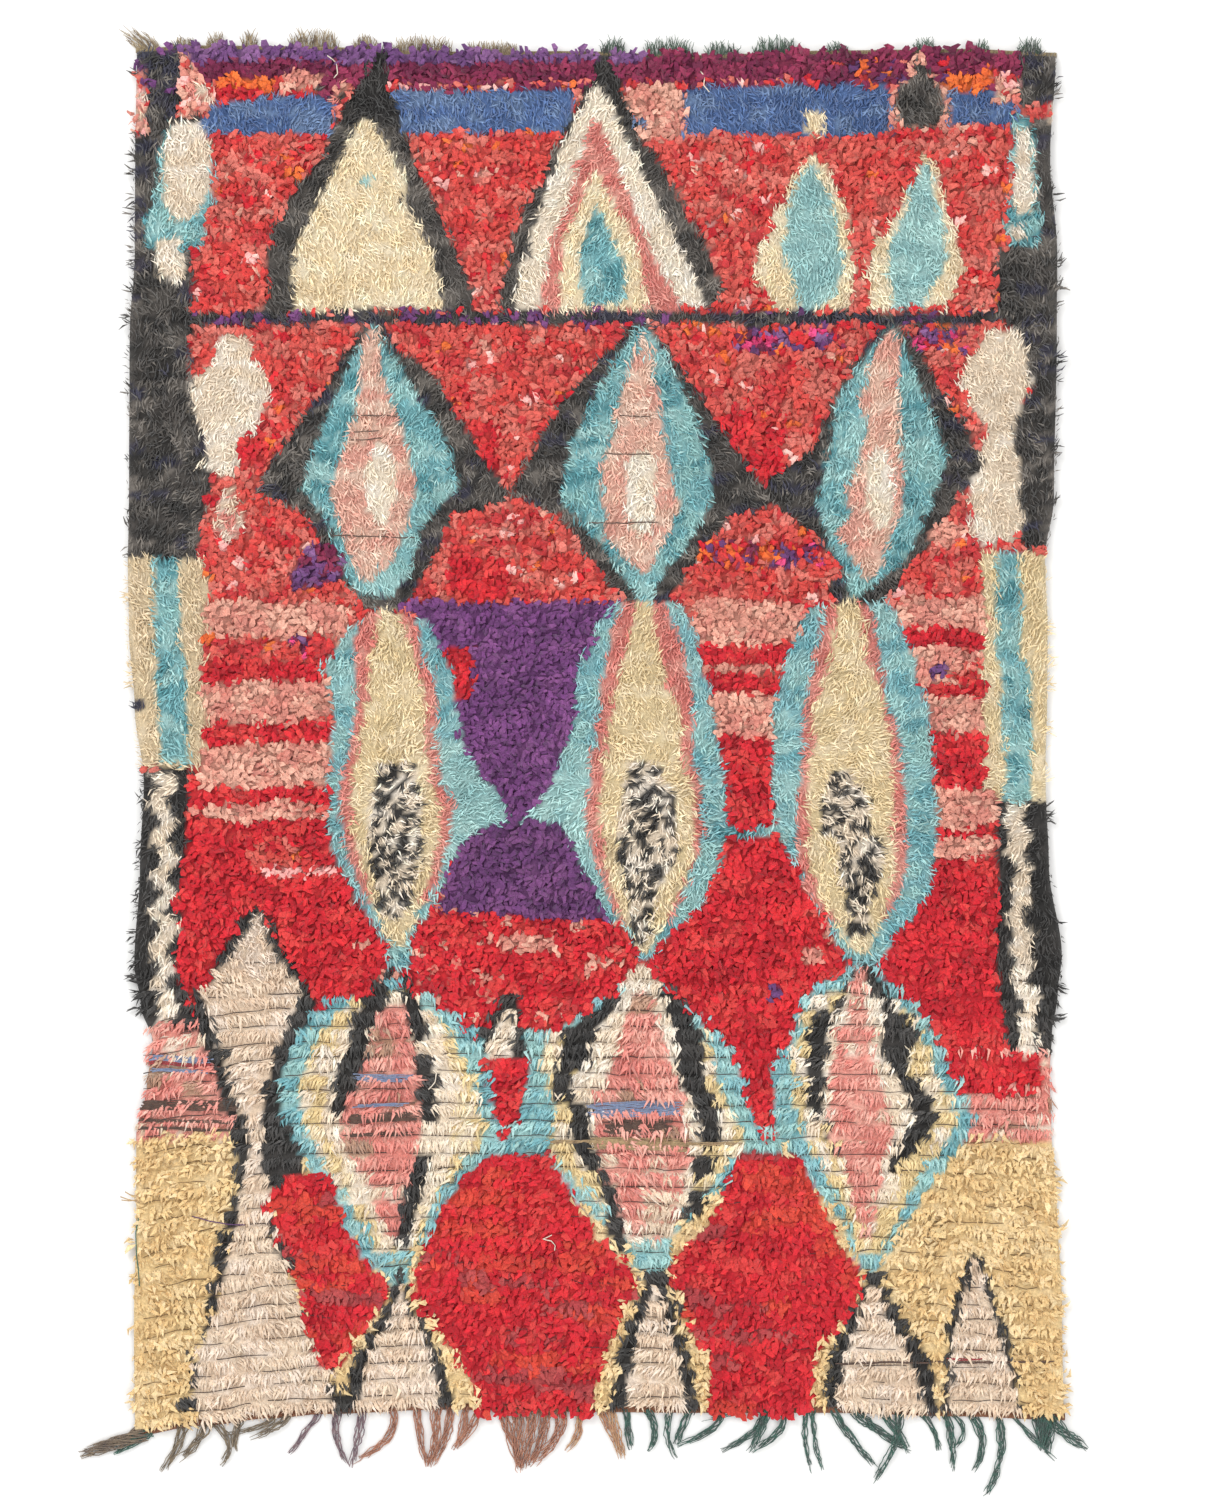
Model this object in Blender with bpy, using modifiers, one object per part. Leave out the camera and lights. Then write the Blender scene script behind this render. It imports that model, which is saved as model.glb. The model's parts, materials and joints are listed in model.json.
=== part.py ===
"""A boucherouite rug lying flat on a floor.

It has three solids. The pile is a lumpy slab with a flat underside, ribbed by its rows of knots where it is
worn, and with locks of rag and yarn standing out round its rim. A narrow woven end runs along the near edge
and carries the long warp fringe. A narrow frayed end runs along the far edge with its short warp brushes.

X runs across the rug, Y along it from the fringe towards the frayed end, and Z up from the floor. The origin
is the middle of the underside.
"""

import math
from collections import namedtuple

import bmesh
import bpy
import numpy as np
from mathutils import Matrix, Vector, noise

# Driving dimensions, in metres
RUG_WIDTH = 1.64
RUG_LENGTH = 2.40
PILE_HEIGHT = 0.025
WORN_HEIGHT = 0.017
RIM_HEIGHT = 0.0175
LUMP_HEIGHT = 0.0045
LUMP_SIZE = 0.075
ROW_PITCH = 0.029
ROW_FURROW = 0.0034
WORN_BELOW = -0.49
WORN_BLEND = 0.12
JOIN_GAP = 0.0003

END_WIDTH = 0.012
END_THICKNESS = 0.005
FRAY_END_WIDTH = 0.008
ROOT_DEPTH = 0.006

COLUMNS_ACROSS = 28
PLUSH_STEP = 0.037
RIM_LOCK_SPACING = 0.052
RIM_LOCK_RADIUS = 0.0052
RIM_LOCK_TIP_RADIUS = 0.0014
RIM_LOCK_HEIGHT = 0.0122
RIM_LOCK_SINK = 0.012
RIM_LOCK_REACH = (0.005, 0.013)
RIM_LOCK_TURN = 0.45
RIM_LOCK_DROOP = (-0.16, 0.02)
CORNER_CLEAR = 0.06
SEED = 11

# How far each side edge lies from the rug's centre line, at stations along the rug
Side = namedtuple("Side", "along west east")
SIDES = (
    Side(-1.24, 0.818, 0.830),
    Side(-1.01, 0.820, 0.827),
    Side(-0.83, 0.816, 0.818),
    Side(-0.69, 0.816, 0.808),
    Side(-0.60, 0.797, 0.805),
    Side(-0.53, 0.786, 0.809),
    Side(-0.46, 0.808, 0.819),
    Side(-0.39, 0.819, 0.826),
    Side(-0.23, 0.809, 0.803),
    Side(-0.07, 0.802, 0.797),
    Side(0.06, 0.818, 0.800),
    Side(0.19, 0.828, 0.801),
    Side(0.31, 0.830, 0.796),
    Side(0.42, 0.828, 0.812),
    Side(0.70, 0.827, 0.817),
    Side(0.85, 0.818, 0.818),
    Side(1.02, 0.817, 0.805),
    Side(1.20, 0.814, 0.815),
)

# Where the pile ends at the fringe and at the frayed end, at stations across the rug
End = namedtuple("End", "across near far")
ENDS = (
    End(-0.82, -1.237, 1.198),
    End(-0.70, -1.219, 1.203),
    End(-0.57, -1.205, 1.202),
    End(-0.48, -1.198, 1.200),
    End(-0.27, -1.190, 1.192),
    End(-0.05, -1.194, 1.193),
    End(0.18, -1.196, 1.186),
    End(0.41, -1.196, 1.194),
    End(0.64, -1.202, 1.197),
    End(0.83, -1.209, 1.190),
)

# The long fringe: root across the rug, how far the middle and the tip sway sideways, reach from the rug, width
Strand = namedtuple("Strand", "root sway_mid sway_tip reach width")
LONG_FRINGE = (
    Strand(-0.800, -0.054, -0.113, 0.035, 0.013),
    Strand(-0.729, -0.014, -0.039, 0.080, 0.017),
    Strand(-0.687, -0.018, -0.053, 0.061, 0.017),
    Strand(-0.628, -0.009, -0.012, 0.053, 0.013),
    Strand(-0.542, -0.023, -0.071, 0.037, 0.013),
    Strand(-0.487, -0.028, -0.055, 0.071, 0.012),
    Strand(-0.457, -0.002, 0.021, 0.093, 0.013),
    Strand(-0.413, -0.008, -0.018, 0.088, 0.016),
    Strand(-0.362, -0.003, -0.059, 0.084, 0.016),
    Strand(-0.318, 0.007, 0.019, 0.101, 0.013),
    Strand(-0.282, -0.002, -0.011, 0.093, 0.017),
    Strand(-0.231, -0.005, -0.021, 0.072, 0.013),
    Strand(-0.205, -0.011, -0.031, 0.054, 0.016),
    Strand(-0.169, 0.019, 0.034, 0.108, 0.017),
    Strand(-0.113, -0.005, -0.016, 0.101, 0.020),
    Strand(-0.090, -0.007, -0.030, 0.096, 0.020),
    Strand(-0.065, -0.004, -0.034, 0.076, 0.020),
    Strand(-0.035, 0.004, -0.019, 0.070, 0.013),
    Strand(0.007, 0.021, 0.039, 0.082, 0.016),
    Strand(0.053, 0.004, 0.007, 0.067, 0.013),
    Strand(0.090, 0.014, 0.002, 0.069, 0.013),
    Strand(0.131, -0.005, 0.011, 0.081, 0.012),
    Strand(0.219, -0.011, -0.076, 0.058, 0.013),
    Strand(0.298, -0.018, -0.076, 0.068, 0.013),
    Strand(0.330, -0.007, -0.055, 0.068, 0.013),
    Strand(0.374, -0.004, 0.009, 0.107, 0.009),
    Strand(0.383, 0.005, 0.018, 0.109, 0.009),
    Strand(0.418, 0.035, 0.079, 0.098, 0.013),
    Strand(0.457, 0.018, 0.030, 0.060, 0.016),
    Strand(0.538, -0.008, -0.040, 0.115, 0.016),
    Strand(0.575, 0.023, 0.032, 0.062, 0.012),
    Strand(0.618, 0.011, 0.012, 0.098, 0.013),
    Strand(0.662, 0.021, 0.004, 0.097, 0.016),
    Strand(0.710, 0.005, -0.023, 0.141, 0.013),
    Strand(0.740, 0.032, 0.074, 0.073, 0.009),
    Strand(0.780, 0.003, 0.004, 0.035, 0.011),
    Strand(0.796, 0.001, 0.000, 0.048, 0.011),
)
STRAND_STEPS = 5
STRAND_HEIGHT = 0.0045
TIP_SHARE = 0.4

# The frayed end: first and last root of each brush of short warps, and how far it reaches
Brush = namedtuple("Brush", "start end locks reach")
FRAYED_BRUSHES = (
    Brush(-0.806, -0.776, 2, 0.026),
    Brush(-0.742, -0.716, 2, 0.016),
    Brush(-0.684, -0.660, 2, 0.020),
    Brush(-0.622, -0.604, 2, 0.026),
    Brush(-0.536, -0.462, 5, 0.026),
    Brush(-0.424, -0.388, 3, 0.020),
    Brush(-0.352, -0.262, 5, 0.022),
    Brush(-0.226, -0.146, 4, 0.016),
    Brush(0.014, 0.046, 2, 0.022),
    Brush(0.094, 0.166, 4, 0.024),
    Brush(0.200, 0.246, 3, 0.022),
    Brush(0.284, 0.352, 4, 0.022),
    Brush(0.414, 0.438, 2, 0.014),
    Brush(0.566, 0.592, 2, 0.018),
    Brush(0.672, 0.690, 2, 0.014),
    Brush(0.750, 0.784, 2, 0.020),
)
FRAY_LOCK_WIDTH = 0.007
FRAY_LOCK_SWAY = 0.003

PARTS = bpy.data.collections.new("boucherouite_rug")
HELPERS = bpy.data.collections.new("helpers")


def clear_scene():
    for old in list(bpy.data.objects):
        bpy.data.objects.remove(old, do_unlink=True)
    for collection in (PARTS, HELPERS):
        bpy.context.scene.collection.children.link(collection)


def cloth_material(name, colour, roughness):
    material = bpy.data.materials.new(name)
    material.use_nodes = True
    shader = material.node_tree.nodes["Principled BSDF"]
    shader.inputs["Base Color"].default_value = (*colour, 1)
    shader.inputs["Roughness"].default_value = roughness
    shader.inputs["Metallic"].default_value = 0
    return material


def read_table(table, column, at):
    """A column of a table at a place between its rows, eased from row to row. The first column is the place."""
    places = [row[0] for row in table]
    values = [getattr(row, column) for row in table]
    after = int(np.clip(np.searchsorted(places, at), 1, len(places) - 1))
    share = np.clip((at - places[after - 1]) / (places[after] - places[after - 1]), 0, 1)
    eased = share * share * (3 - 2 * share)
    return values[after - 1] + (values[after] - values[after - 1]) * eased


def near_edge(x):
    return read_table(ENDS, "near", x)


def far_edge(x):
    return read_table(ENDS, "far", x)


def across_at(share, y):
    """The place across the rug at a share of its width, between its two uneven sides."""
    west = -read_table(SIDES, "west", y)
    east = read_table(SIDES, "east", y)
    return west + (east - west) * share


def row_places():
    """Where the slab's lines across the rug lie: every ridge and furrow where it is worn, wider steps in the plush."""
    near = -RUG_LENGTH / 2
    rows = round((WORN_BELOW - near) / ROW_PITCH)
    worn = np.linspace(near, WORN_BELOW, 2 * rows + 1)
    steps = round((RUG_LENGTH / 2 - WORN_BELOW) / PLUSH_STEP)
    plush = np.linspace(WORN_BELOW, RUG_LENGTH / 2, steps + 1)
    return np.concatenate([worn, plush[1:]])


def lump(x, y):
    """Uneven pile, between about -1 and 1."""
    broad = noise.noise(Vector((x / LUMP_SIZE, y / LUMP_SIZE, 3.7)))
    fine = noise.noise(Vector((x / LUMP_SIZE * 2.1, y / LUMP_SIZE * 2.1, 9.2)))
    return 1.3 * broad + 0.7 * fine


def pile_top(x, y, is_furrow):
    wear = np.clip((WORN_BELOW + WORN_BLEND - y) / WORN_BLEND, 0, 1)
    height = PILE_HEIGHT + (WORN_HEIGHT - PILE_HEIGHT) * wear
    height += LUMP_HEIGHT * lump(x, y) * (1 - 0.5 * wear)
    return height - ROW_FURROW * is_furrow


def pile_point(column, row, rows):
    """The slab's top point at a column and a row of its grid."""
    places = row_places()
    along = places[row] / (RUG_LENGTH / 2)
    share = column / COLUMNS_ACROSS
    x = across_at(share, places[row])
    middle = (near_edge(x) + far_edge(x)) / 2
    y = middle + along * (far_edge(x) - near_edge(x)) / 2
    x = across_at(share, y)
    on_rim = column in (0, COLUMNS_ACROSS) or row in (0, rows)
    if on_rim:
        return Vector((x, y, RIM_HEIGHT))
    is_furrow = places[row] < WORN_BELOW and row % 2 == 0
    return Vector((x, y, pile_top(x, y, is_furrow)))


def lumpy_slab():
    """The pile as one closed slab: a displaced grid whose rim drops straight to a flat underside."""
    rows = len(row_places()) - 1
    mesh = bmesh.new()
    bmesh.ops.create_grid(mesh, x_segments=COLUMNS_ACROSS, y_segments=rows, size=0.5)
    for vertex in mesh.verts:
        column = round((vertex.co.x + 0.5) * COLUMNS_ACROSS)
        row = round((vertex.co.y + 0.5) * rows)
        vertex.co = pile_point(column, row, rows)
    rim = [edge for edge in mesh.edges if edge.is_boundary]
    side = bmesh.ops.extrude_edge_only(mesh, edges=rim)["geom"]
    for vertex in (item for item in side if isinstance(item, bmesh.types.BMVert)):
        vertex.co.z = 0
    open_edges = [edge for edge in mesh.edges if edge.is_boundary]
    bmesh.ops.contextual_create(mesh, geom=open_edges)
    bmesh.ops.recalc_face_normals(mesh, faces=mesh.faces)
    return mesh


def object_from(name, mesh, collection, material=None):
    data = bpy.data.meshes.new(name)
    mesh.to_mesh(data)
    mesh.free()
    made = bpy.data.objects.new(name, data)
    collection.objects.link(made)
    if material:
        data.materials.append(material)
    return made


def as_helper(made):
    made.hide_render = True
    made.display_type = "WIRE"
    return made


def join_to(carrier, helper):
    union = carrier.modifiers.new("join_" + helper.name, "BOOLEAN")
    union.operation = "UNION"
    union.use_self = True
    union.object = as_helper(helper)


def rim_places():
    """Where the rim's locks root, and which way is out: along both sides and both ends, clear of the corners."""
    places = []
    half_length = RUG_LENGTH / 2 - CORNER_CLEAR
    half_width = RUG_WIDTH / 2 - CORNER_CLEAR
    for y in np.arange(-half_length, half_length, RIM_LOCK_SPACING):
        places.append((across_at(0, y), y, Vector((-1, 0, 0))))
        places.append((across_at(1, y), y, Vector((1, 0, 0))))
    for x in np.arange(-half_width, half_width, RIM_LOCK_SPACING):
        places.append((x, near_edge(x), Vector((0, -1, 0))))
        places.append((x, far_edge(x), Vector((0, 1, 0))))
    return places


def rim_locks():
    """Tapered four-sided locks that stand out of the slab's rim, above the woven ends."""
    chance = np.random.default_rng(SEED)
    mesh = bmesh.new()
    for x, y, outward in rim_places():
        reach = chance.uniform(*RIM_LOCK_REACH) + RIM_LOCK_SINK
        turn = Matrix.Rotation(chance.uniform(-RIM_LOCK_TURN, RIM_LOCK_TURN), 4, "Z")
        droop = Vector((0, 0, chance.uniform(*RIM_LOCK_DROOP)))
        way = (turn @ outward + droop).normalized()
        root = Vector((x, y, RIM_LOCK_HEIGHT)) - outward * RIM_LOCK_SINK
        place = Matrix.Translation(root + way * reach / 2)
        bmesh.ops.create_cone(
            mesh,
            cap_ends=True,
            segments=4,
            radius1=RIM_LOCK_RADIUS,
            radius2=RIM_LOCK_TIP_RADIUS,
            depth=reach,
            matrix=place @ way.to_track_quat("Z", "Y").to_matrix().to_4x4(),
        )
    return mesh


def woven_strip(row, outward, width):
    """A flat woven band that follows one end of the pile, a hair's breadth from it."""
    rows = len(row_places()) - 1
    mesh = bmesh.new()
    bmesh.ops.create_grid(mesh, x_segments=COLUMNS_ACROSS, y_segments=1, size=0.5)
    for vertex in mesh.verts:
        column = round((vertex.co.x + 0.5) * COLUMNS_ACROSS)
        is_outer = (vertex.co.y * outward) > 0
        away = JOIN_GAP + (width if is_outer else 0)
        rim = pile_point(column, row, rows)
        vertex.co = Vector((rim.x, rim.y + outward * away, 0))
    return mesh


def thicken(made, thickness):
    shell = made.modifiers.new("thickness", "SOLIDIFY")
    shell.thickness = thickness
    shell.offset = 1
    shell.use_even_offset = False


def strand_curve(name):
    """A curve whose strands have four sides and lie square to the floor."""
    curve = bpy.data.curves.new(name, "CURVE")
    curve.dimensions = "3D"
    curve.twist_mode = "Z_UP"
    curve.bevel_depth = 1
    curve.bevel_resolution = 0
    curve.use_fill_caps = True
    return curve


def add_strand(curve, route, half_widths):
    spline = curve.splines.new("POLY")
    spline.points.add(len(route) - 1)
    for point, place, half_width in zip(spline.points, route, half_widths):
        radius = half_width * math.sqrt(2)
        point.co = (*place, 0, 1)
        point.radius = radius
        point.tilt = math.radians(45)


def floor_strands(curve):
    """The strands as one mesh, each resting level on the floor and no higher than the woven end."""
    made = bpy.data.objects.new(curve.name, curve)
    HELPERS.objects.link(made)
    bpy.context.view_layer.update()
    graph = bpy.context.evaluated_depsgraph_get()
    data = bpy.data.meshes.new_from_object(made.evaluated_get(graph))
    mesh = bmesh.new()
    mesh.from_mesh(data)
    bmesh.ops.remove_doubles(mesh, verts=mesh.verts, dist=1e-5)
    for vertex in mesh.verts:
        is_under = vertex.co.z < 0
        vertex.co.z = 0 if is_under else min(2 * vertex.co.z, STRAND_HEIGHT)
    bpy.data.objects.remove(made)
    return mesh


def long_fringe_route(strand):
    """A strand's line on the floor: out of the woven end, then swaying to its middle and its tip."""
    root_y = near_edge(strand.root) - JOIN_GAP - END_WIDTH + ROOT_DEPTH
    tip_y = near_edge(strand.root) - END_WIDTH - strand.reach
    route = []
    for step in range(STRAND_STEPS + 1):
        share = step / STRAND_STEPS
        to_mid = 4 * share * (1 - share) * strand.sway_mid
        to_tip = share * (2 * share - 1) * strand.sway_tip
        route.append((strand.root + to_mid + to_tip, root_y + (tip_y - root_y) * share))
    return route


def long_fringe():
    curve = strand_curve("long_fringe_strands")
    for strand in LONG_FRINGE:
        taper = [1 - (1 - TIP_SHARE) * (step / STRAND_STEPS) ** 2 for step in range(STRAND_STEPS + 1)]
        add_strand(curve, long_fringe_route(strand), [strand.width / 2 * share for share in taper])
    return floor_strands(curve)


def frayed_locks():
    chance = np.random.default_rng(SEED + 1)
    curve = strand_curve("frayed_locks")
    for brush in FRAYED_BRUSHES:
        for x in np.linspace(brush.start, brush.end, brush.locks):
            reach = brush.reach * chance.uniform(0.7, 1)
            sway = chance.uniform(-FRAY_LOCK_SWAY, FRAY_LOCK_SWAY)
            root_y = far_edge(x) + JOIN_GAP + FRAY_END_WIDTH - ROOT_DEPTH / 2
            route = [(x, root_y), (x + sway / 2, root_y + reach / 2), (x + sway, root_y + reach)]
            half = FRAY_LOCK_WIDTH / 2
            add_strand(curve, route, [half, 0.85 * half, TIP_SHARE * half])
    return floor_strands(curve)


def build_pile(material):
    slab = object_from("pile", lumpy_slab(), PARTS, material)
    join_to(slab, object_from("rim_locks", rim_locks(), HELPERS))


def build_end(name, row, outward, width, strands, material):
    strip = object_from(name, woven_strip(row, outward, width), PARTS, material)
    thicken(strip, END_THICKNESS)
    join_to(strip, object_from(name + "_strands", strands, HELPERS))


def centre_on_origin():
    """Move everything so that the origin is the middle of the whole rug's underside."""
    bpy.context.view_layer.update()
    graph = bpy.context.evaluated_depsgraph_get()
    corners = np.array([corner for made in PARTS.objects for corner in made.evaluated_get(graph).bound_box])
    middle = (corners.min(axis=0) + corners.max(axis=0)) / 2
    shift = Matrix.Translation((-middle[0], -middle[1], 0))
    for made in (*PARTS.objects, *HELPERS.objects):
        made.data.transform(shift)


def main():
    clear_scene()
    build_pile(cloth_material("rag_pile", (0.62, 0.10, 0.09), 0.95))
    warp = cloth_material("brown_warp", (0.20, 0.14, 0.10), 0.9)
    fray = cloth_material("beige_warp", (0.42, 0.36, 0.24), 0.9)
    last_row = len(row_places()) - 1
    build_end("long_fringe", 0, -1, END_WIDTH, long_fringe(), warp)
    build_end("frayed_end", last_row, 1, FRAY_END_WIDTH, frayed_locks(), fray)
    centre_on_origin()


main()
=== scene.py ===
import json
import math
from collections import namedtuple

import bmesh
import bpy
import numpy as np
from mathutils import Matrix, Vector

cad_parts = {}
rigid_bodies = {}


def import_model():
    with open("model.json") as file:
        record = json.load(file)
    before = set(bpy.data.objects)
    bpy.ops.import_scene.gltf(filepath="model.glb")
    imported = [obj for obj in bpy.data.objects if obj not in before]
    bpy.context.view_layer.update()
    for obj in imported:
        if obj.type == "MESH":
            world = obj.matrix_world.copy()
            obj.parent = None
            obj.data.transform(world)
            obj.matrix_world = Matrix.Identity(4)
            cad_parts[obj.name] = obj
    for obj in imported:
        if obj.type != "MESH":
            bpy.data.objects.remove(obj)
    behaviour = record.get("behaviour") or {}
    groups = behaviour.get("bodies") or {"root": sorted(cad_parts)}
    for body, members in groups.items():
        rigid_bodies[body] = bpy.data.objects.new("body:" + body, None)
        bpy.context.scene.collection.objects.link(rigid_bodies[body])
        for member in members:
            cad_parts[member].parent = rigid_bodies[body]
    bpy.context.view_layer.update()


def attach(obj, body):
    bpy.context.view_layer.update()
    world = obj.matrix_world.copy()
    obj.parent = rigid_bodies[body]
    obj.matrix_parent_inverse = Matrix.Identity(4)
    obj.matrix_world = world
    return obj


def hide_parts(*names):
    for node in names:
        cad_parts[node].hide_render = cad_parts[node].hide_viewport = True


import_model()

# The rug, in metres. The frame's origin is the middle of the whole rug, fringe included, so the pattern's own
# centre lies a little way from it.
CENTRE = Vector((0.03770, 0.06358, 0))
FAR_END = 1.2002
FIELD_WIDTH = 1.64
FIELD_LENGTH = 2.40
HALF_LENGTH = 1.2
GROUND_TOP = 0.0045
GROUND_UNDERSIDE = 0.0003
SEED = 7

# Rows of knots, each knot's width, and how far the last row hangs over the near end
ROWS = 84
KNOT_WIDTH = 0.0095
NEAR_OVERHANG = 0.010

# The pile is worn to the near side of this place along the rug, and turns plush over this length
WORN_BELOW = -0.49
WORN_BLEND = 0.14

# How bright the knots' bases are painted under plush and under worn pile: painted shade between the strands,
# deeper under the plush
PLUSH_BED_PAINTED_SHADE = 0.72
WORN_BED_PAINTED_SHADE = 0.92

# How far along its reach a strand shows most
SEEN_SHARE = 0.58

# Noise scales of crumpled fibre, whose bump is also painted into the colour as shade, and of plies of two dyes
CRUMPLE_SCALE = 210
PLY_SCALE = 90

# How far each side edge lies from the rug's centre line, at stations along the rug
Side = namedtuple("Side", "along west east")
SIDES = (
    Side(-1.24, 0.818, 0.830),
    Side(-1.01, 0.820, 0.827),
    Side(-0.83, 0.816, 0.818),
    Side(-0.69, 0.816, 0.808),
    Side(-0.60, 0.797, 0.805),
    Side(-0.53, 0.786, 0.809),
    Side(-0.46, 0.808, 0.819),
    Side(-0.39, 0.819, 0.826),
    Side(-0.23, 0.809, 0.803),
    Side(-0.07, 0.802, 0.797),
    Side(0.06, 0.818, 0.800),
    Side(0.19, 0.828, 0.801),
    Side(0.31, 0.830, 0.796),
    Side(0.42, 0.828, 0.812),
    Side(0.70, 0.827, 0.817),
    Side(0.85, 0.818, 0.818),
    Side(1.02, 0.817, 0.805),
    Side(1.20, 0.814, 0.815),
)

# Where the pile ends at the fringe and at the frayed end, at stations across the rug
End = namedtuple("End", "across near far")
ENDS = (
    End(-0.82, -1.237, 1.198),
    End(-0.70, -1.219, 1.203),
    End(-0.57, -1.205, 1.202),
    End(-0.48, -1.198, 1.200),
    End(-0.27, -1.190, 1.192),
    End(-0.05, -1.194, 1.193),
    End(0.18, -1.196, 1.186),
    End(0.41, -1.196, 1.194),
    End(0.64, -1.202, 1.197),
    End(0.83, -1.209, 1.190),
)

# Each dye: the piece it is knotted in, and the tones found in it, as red, green and blue from 0 to 255.
# A mix has no piece: it is bits of other dyes, each about as wide and as long as it says. Its place in this
# table seeds its noise.
Dye = namedtuple("Dye", "piece tones")
Mix = namedtuple("Mix", "dyes width length", defaults=(0.016, 0.011))
DYES = {
    "cream": Dye("pile_cream", ((247, 229, 195), (242, 222, 184), (250, 236, 207))),
    "pale_cream": Dye("pile_cream", ((240, 224, 200), (245, 231, 210))),
    "yellow": Dye("roving_yellow", ((232, 203, 150), (224, 192, 138), (238, 212, 164))),
    "ivory": Dye("pile_ivory", ((242, 226, 204), (236, 218, 194), (248, 236, 220))),
    "ivory_pink": Dye("pile_ivory", ((234, 213, 189), (227, 203, 178), (240, 222, 204))),
    "dark_mix": Mix(("charcoal",) * 6 + ("black", "navy"), 0.034, 0.014),
    "navy_mix": Mix(("navy",) * 3 + ("charcoal", "charcoal", "black", "purple"), 0.020, 0.011),
    "pink_ivory": Mix(("ivory_pink", "ivory_pink", "pink")),
    "turquoise": Dye(
        "pile_turquoise", ((142, 194, 197), (126, 185, 191), (172, 213, 211), (92, 156, 164), (154, 201, 199))
    ),
    "pale_turquoise": Dye("pile_turquoise", ((170, 210, 208), (156, 200, 200), (184, 220, 216))),
    "blue": Dye("pile_blue", ((89, 119, 170), (76, 106, 157), (114, 140, 179))),
    "charcoal": Dye("pile_dark", ((88, 83, 78), (54, 51, 48), (120, 113, 106), (78, 73, 69))),
    "black": Dye("pile_dark", ((46, 44, 42), (36, 34, 33), (58, 55, 53))),
    "navy": Dye("pile_dark", ((56, 55, 72), (48, 48, 66), (62, 58, 70))),
    "pink": Dye("pile_pink", ((226, 146, 134), (220, 130, 120), (232, 162, 148))),
    "pale_pink": Dye("pile_pink", ((236, 197, 176), (232, 184, 165), (243, 212, 193), (231, 172, 155))),
    "rose": Dye("pile_pink", ((233, 160, 146), (226, 142, 130), (238, 178, 162))),
    "tan": Dye("pile_pink", ((190, 152, 128), (176, 136, 112))),
    "brown": Dye("pile_dark", ((116, 88, 74), (98, 74, 62))),
    "worn_pink": Mix(("rose",) * 9 + ("pink", "tan", "ivory_pink"), 0.05, 0.013),
    "rose_mix": Mix(("rose",) * 8 + ("ivory_pink",), 0.03, 0.013),
    "cream_ivory": Mix(
        ("light_yellow", "ivory", "light_yellow", "cream", "light_yellow", "pale_cream"), 0.022, 0.03
    ),
    "warm_cream": Dye("pile_cream", ((239, 219, 178), (231, 210, 166), (244, 226, 190))),
    "panel_cream": Dye("pile_cream", ((227, 206, 170), (216, 195, 159), (236, 216, 183))),
    "light_yellow": Dye("pile_cream", ((236, 212, 160), (228, 204, 152))),
    "salmon": Dye("rag_salmon", ((214, 148, 130), (206, 132, 118), (224, 168, 148))),
    "coral": Dye(
        "rag_coral",
        (
            (212, 114, 102), (202, 102, 91), (206, 91, 80), (204, 80, 72), (206, 69, 62), (203, 57, 54),
            (188, 50, 53),
        ),
    ),
    "red": Dye("rag_red", ((202, 30, 44), (190, 20, 36), (211, 38, 46), (180, 17, 34), (207, 56, 55))),
    "plum": Dye("rag_purple", ((122, 32, 68), (106, 24, 62), (138, 42, 76))),
    "violet": Dye("rag_purple", ((112, 70, 122), (100, 60, 112), (126, 84, 132))),
    "purple": Dye("rag_purple", ((104, 56, 110), (92, 48, 98), (114, 64, 116))),
    "orange": Dye("rag_coral", ((230, 112, 48), (222, 98, 42))),
    "magenta": Dye("rag_coral", ((226, 72, 128), (200, 48, 104))),
    "light_pink": Dye("rag_salmon", ((244, 188, 178), (240, 172, 166))),
    "coral_field": Mix(("coral",) * 64 + ("light_pink", "orange", "salmon") + ("red",) * 5),
    "red_field": Mix(("red",) * 18 + ("coral", "salmon")),
    "salmon_mix": Mix(("salmon", "salmon", "light_pink", "pink", "ivory_pink", "coral")),
    "plum_mix": Mix(("plum",) * 10 + ("purple", "red", "coral", "orange")),
    "plum_edge": Mix(("plum",) * 9 + ("orange", "coral", "red", "light_pink")),
    "plum_violet": Mix(("plum", "plum", "violet", "purple")),
    "scarlet": Dye("rag_red", ((208, 66, 50), (198, 54, 44))),
    "rosewood": Dye("rag_red", ((176, 70, 70), (164, 56, 60))),
    "red_streaks": Mix(("red",) * 9 + ("scarlet", "scarlet", "rosewood"), 0.12, 0.018),
    "violet_mix": Mix(("violet", "purple", "magenta", "plum", "coral", "red", "red", "orange")),
    "speckled": Mix(("salmon", "charcoal", "pink", "plum")),
    "broken_black": Mix(("black", "black", "black", "ivory_pink", "yellow"), 0.022, 0.016),
    "flecked": Mix(("black", "ivory"), 0.011, 0.010),
    "white_ivory": Dye("pile_ivory", ((248, 235, 216), (242, 228, 206), (251, 242, 228))),
    "light_purple": Dye("rag_purple", ((113, 60, 118), (100, 51, 106), (124, 70, 126))),
    "soft_turquoise": Dye(
        "pile_turquoise",
        ((156, 202, 204), (140, 192, 198), (172, 213, 211), (118, 178, 186), (162, 205, 202)),
    ),
}


def bar(start, end, west, east):
    """The two stations of a straight bar."""
    return (start, west, east), (end, west, east)


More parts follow.
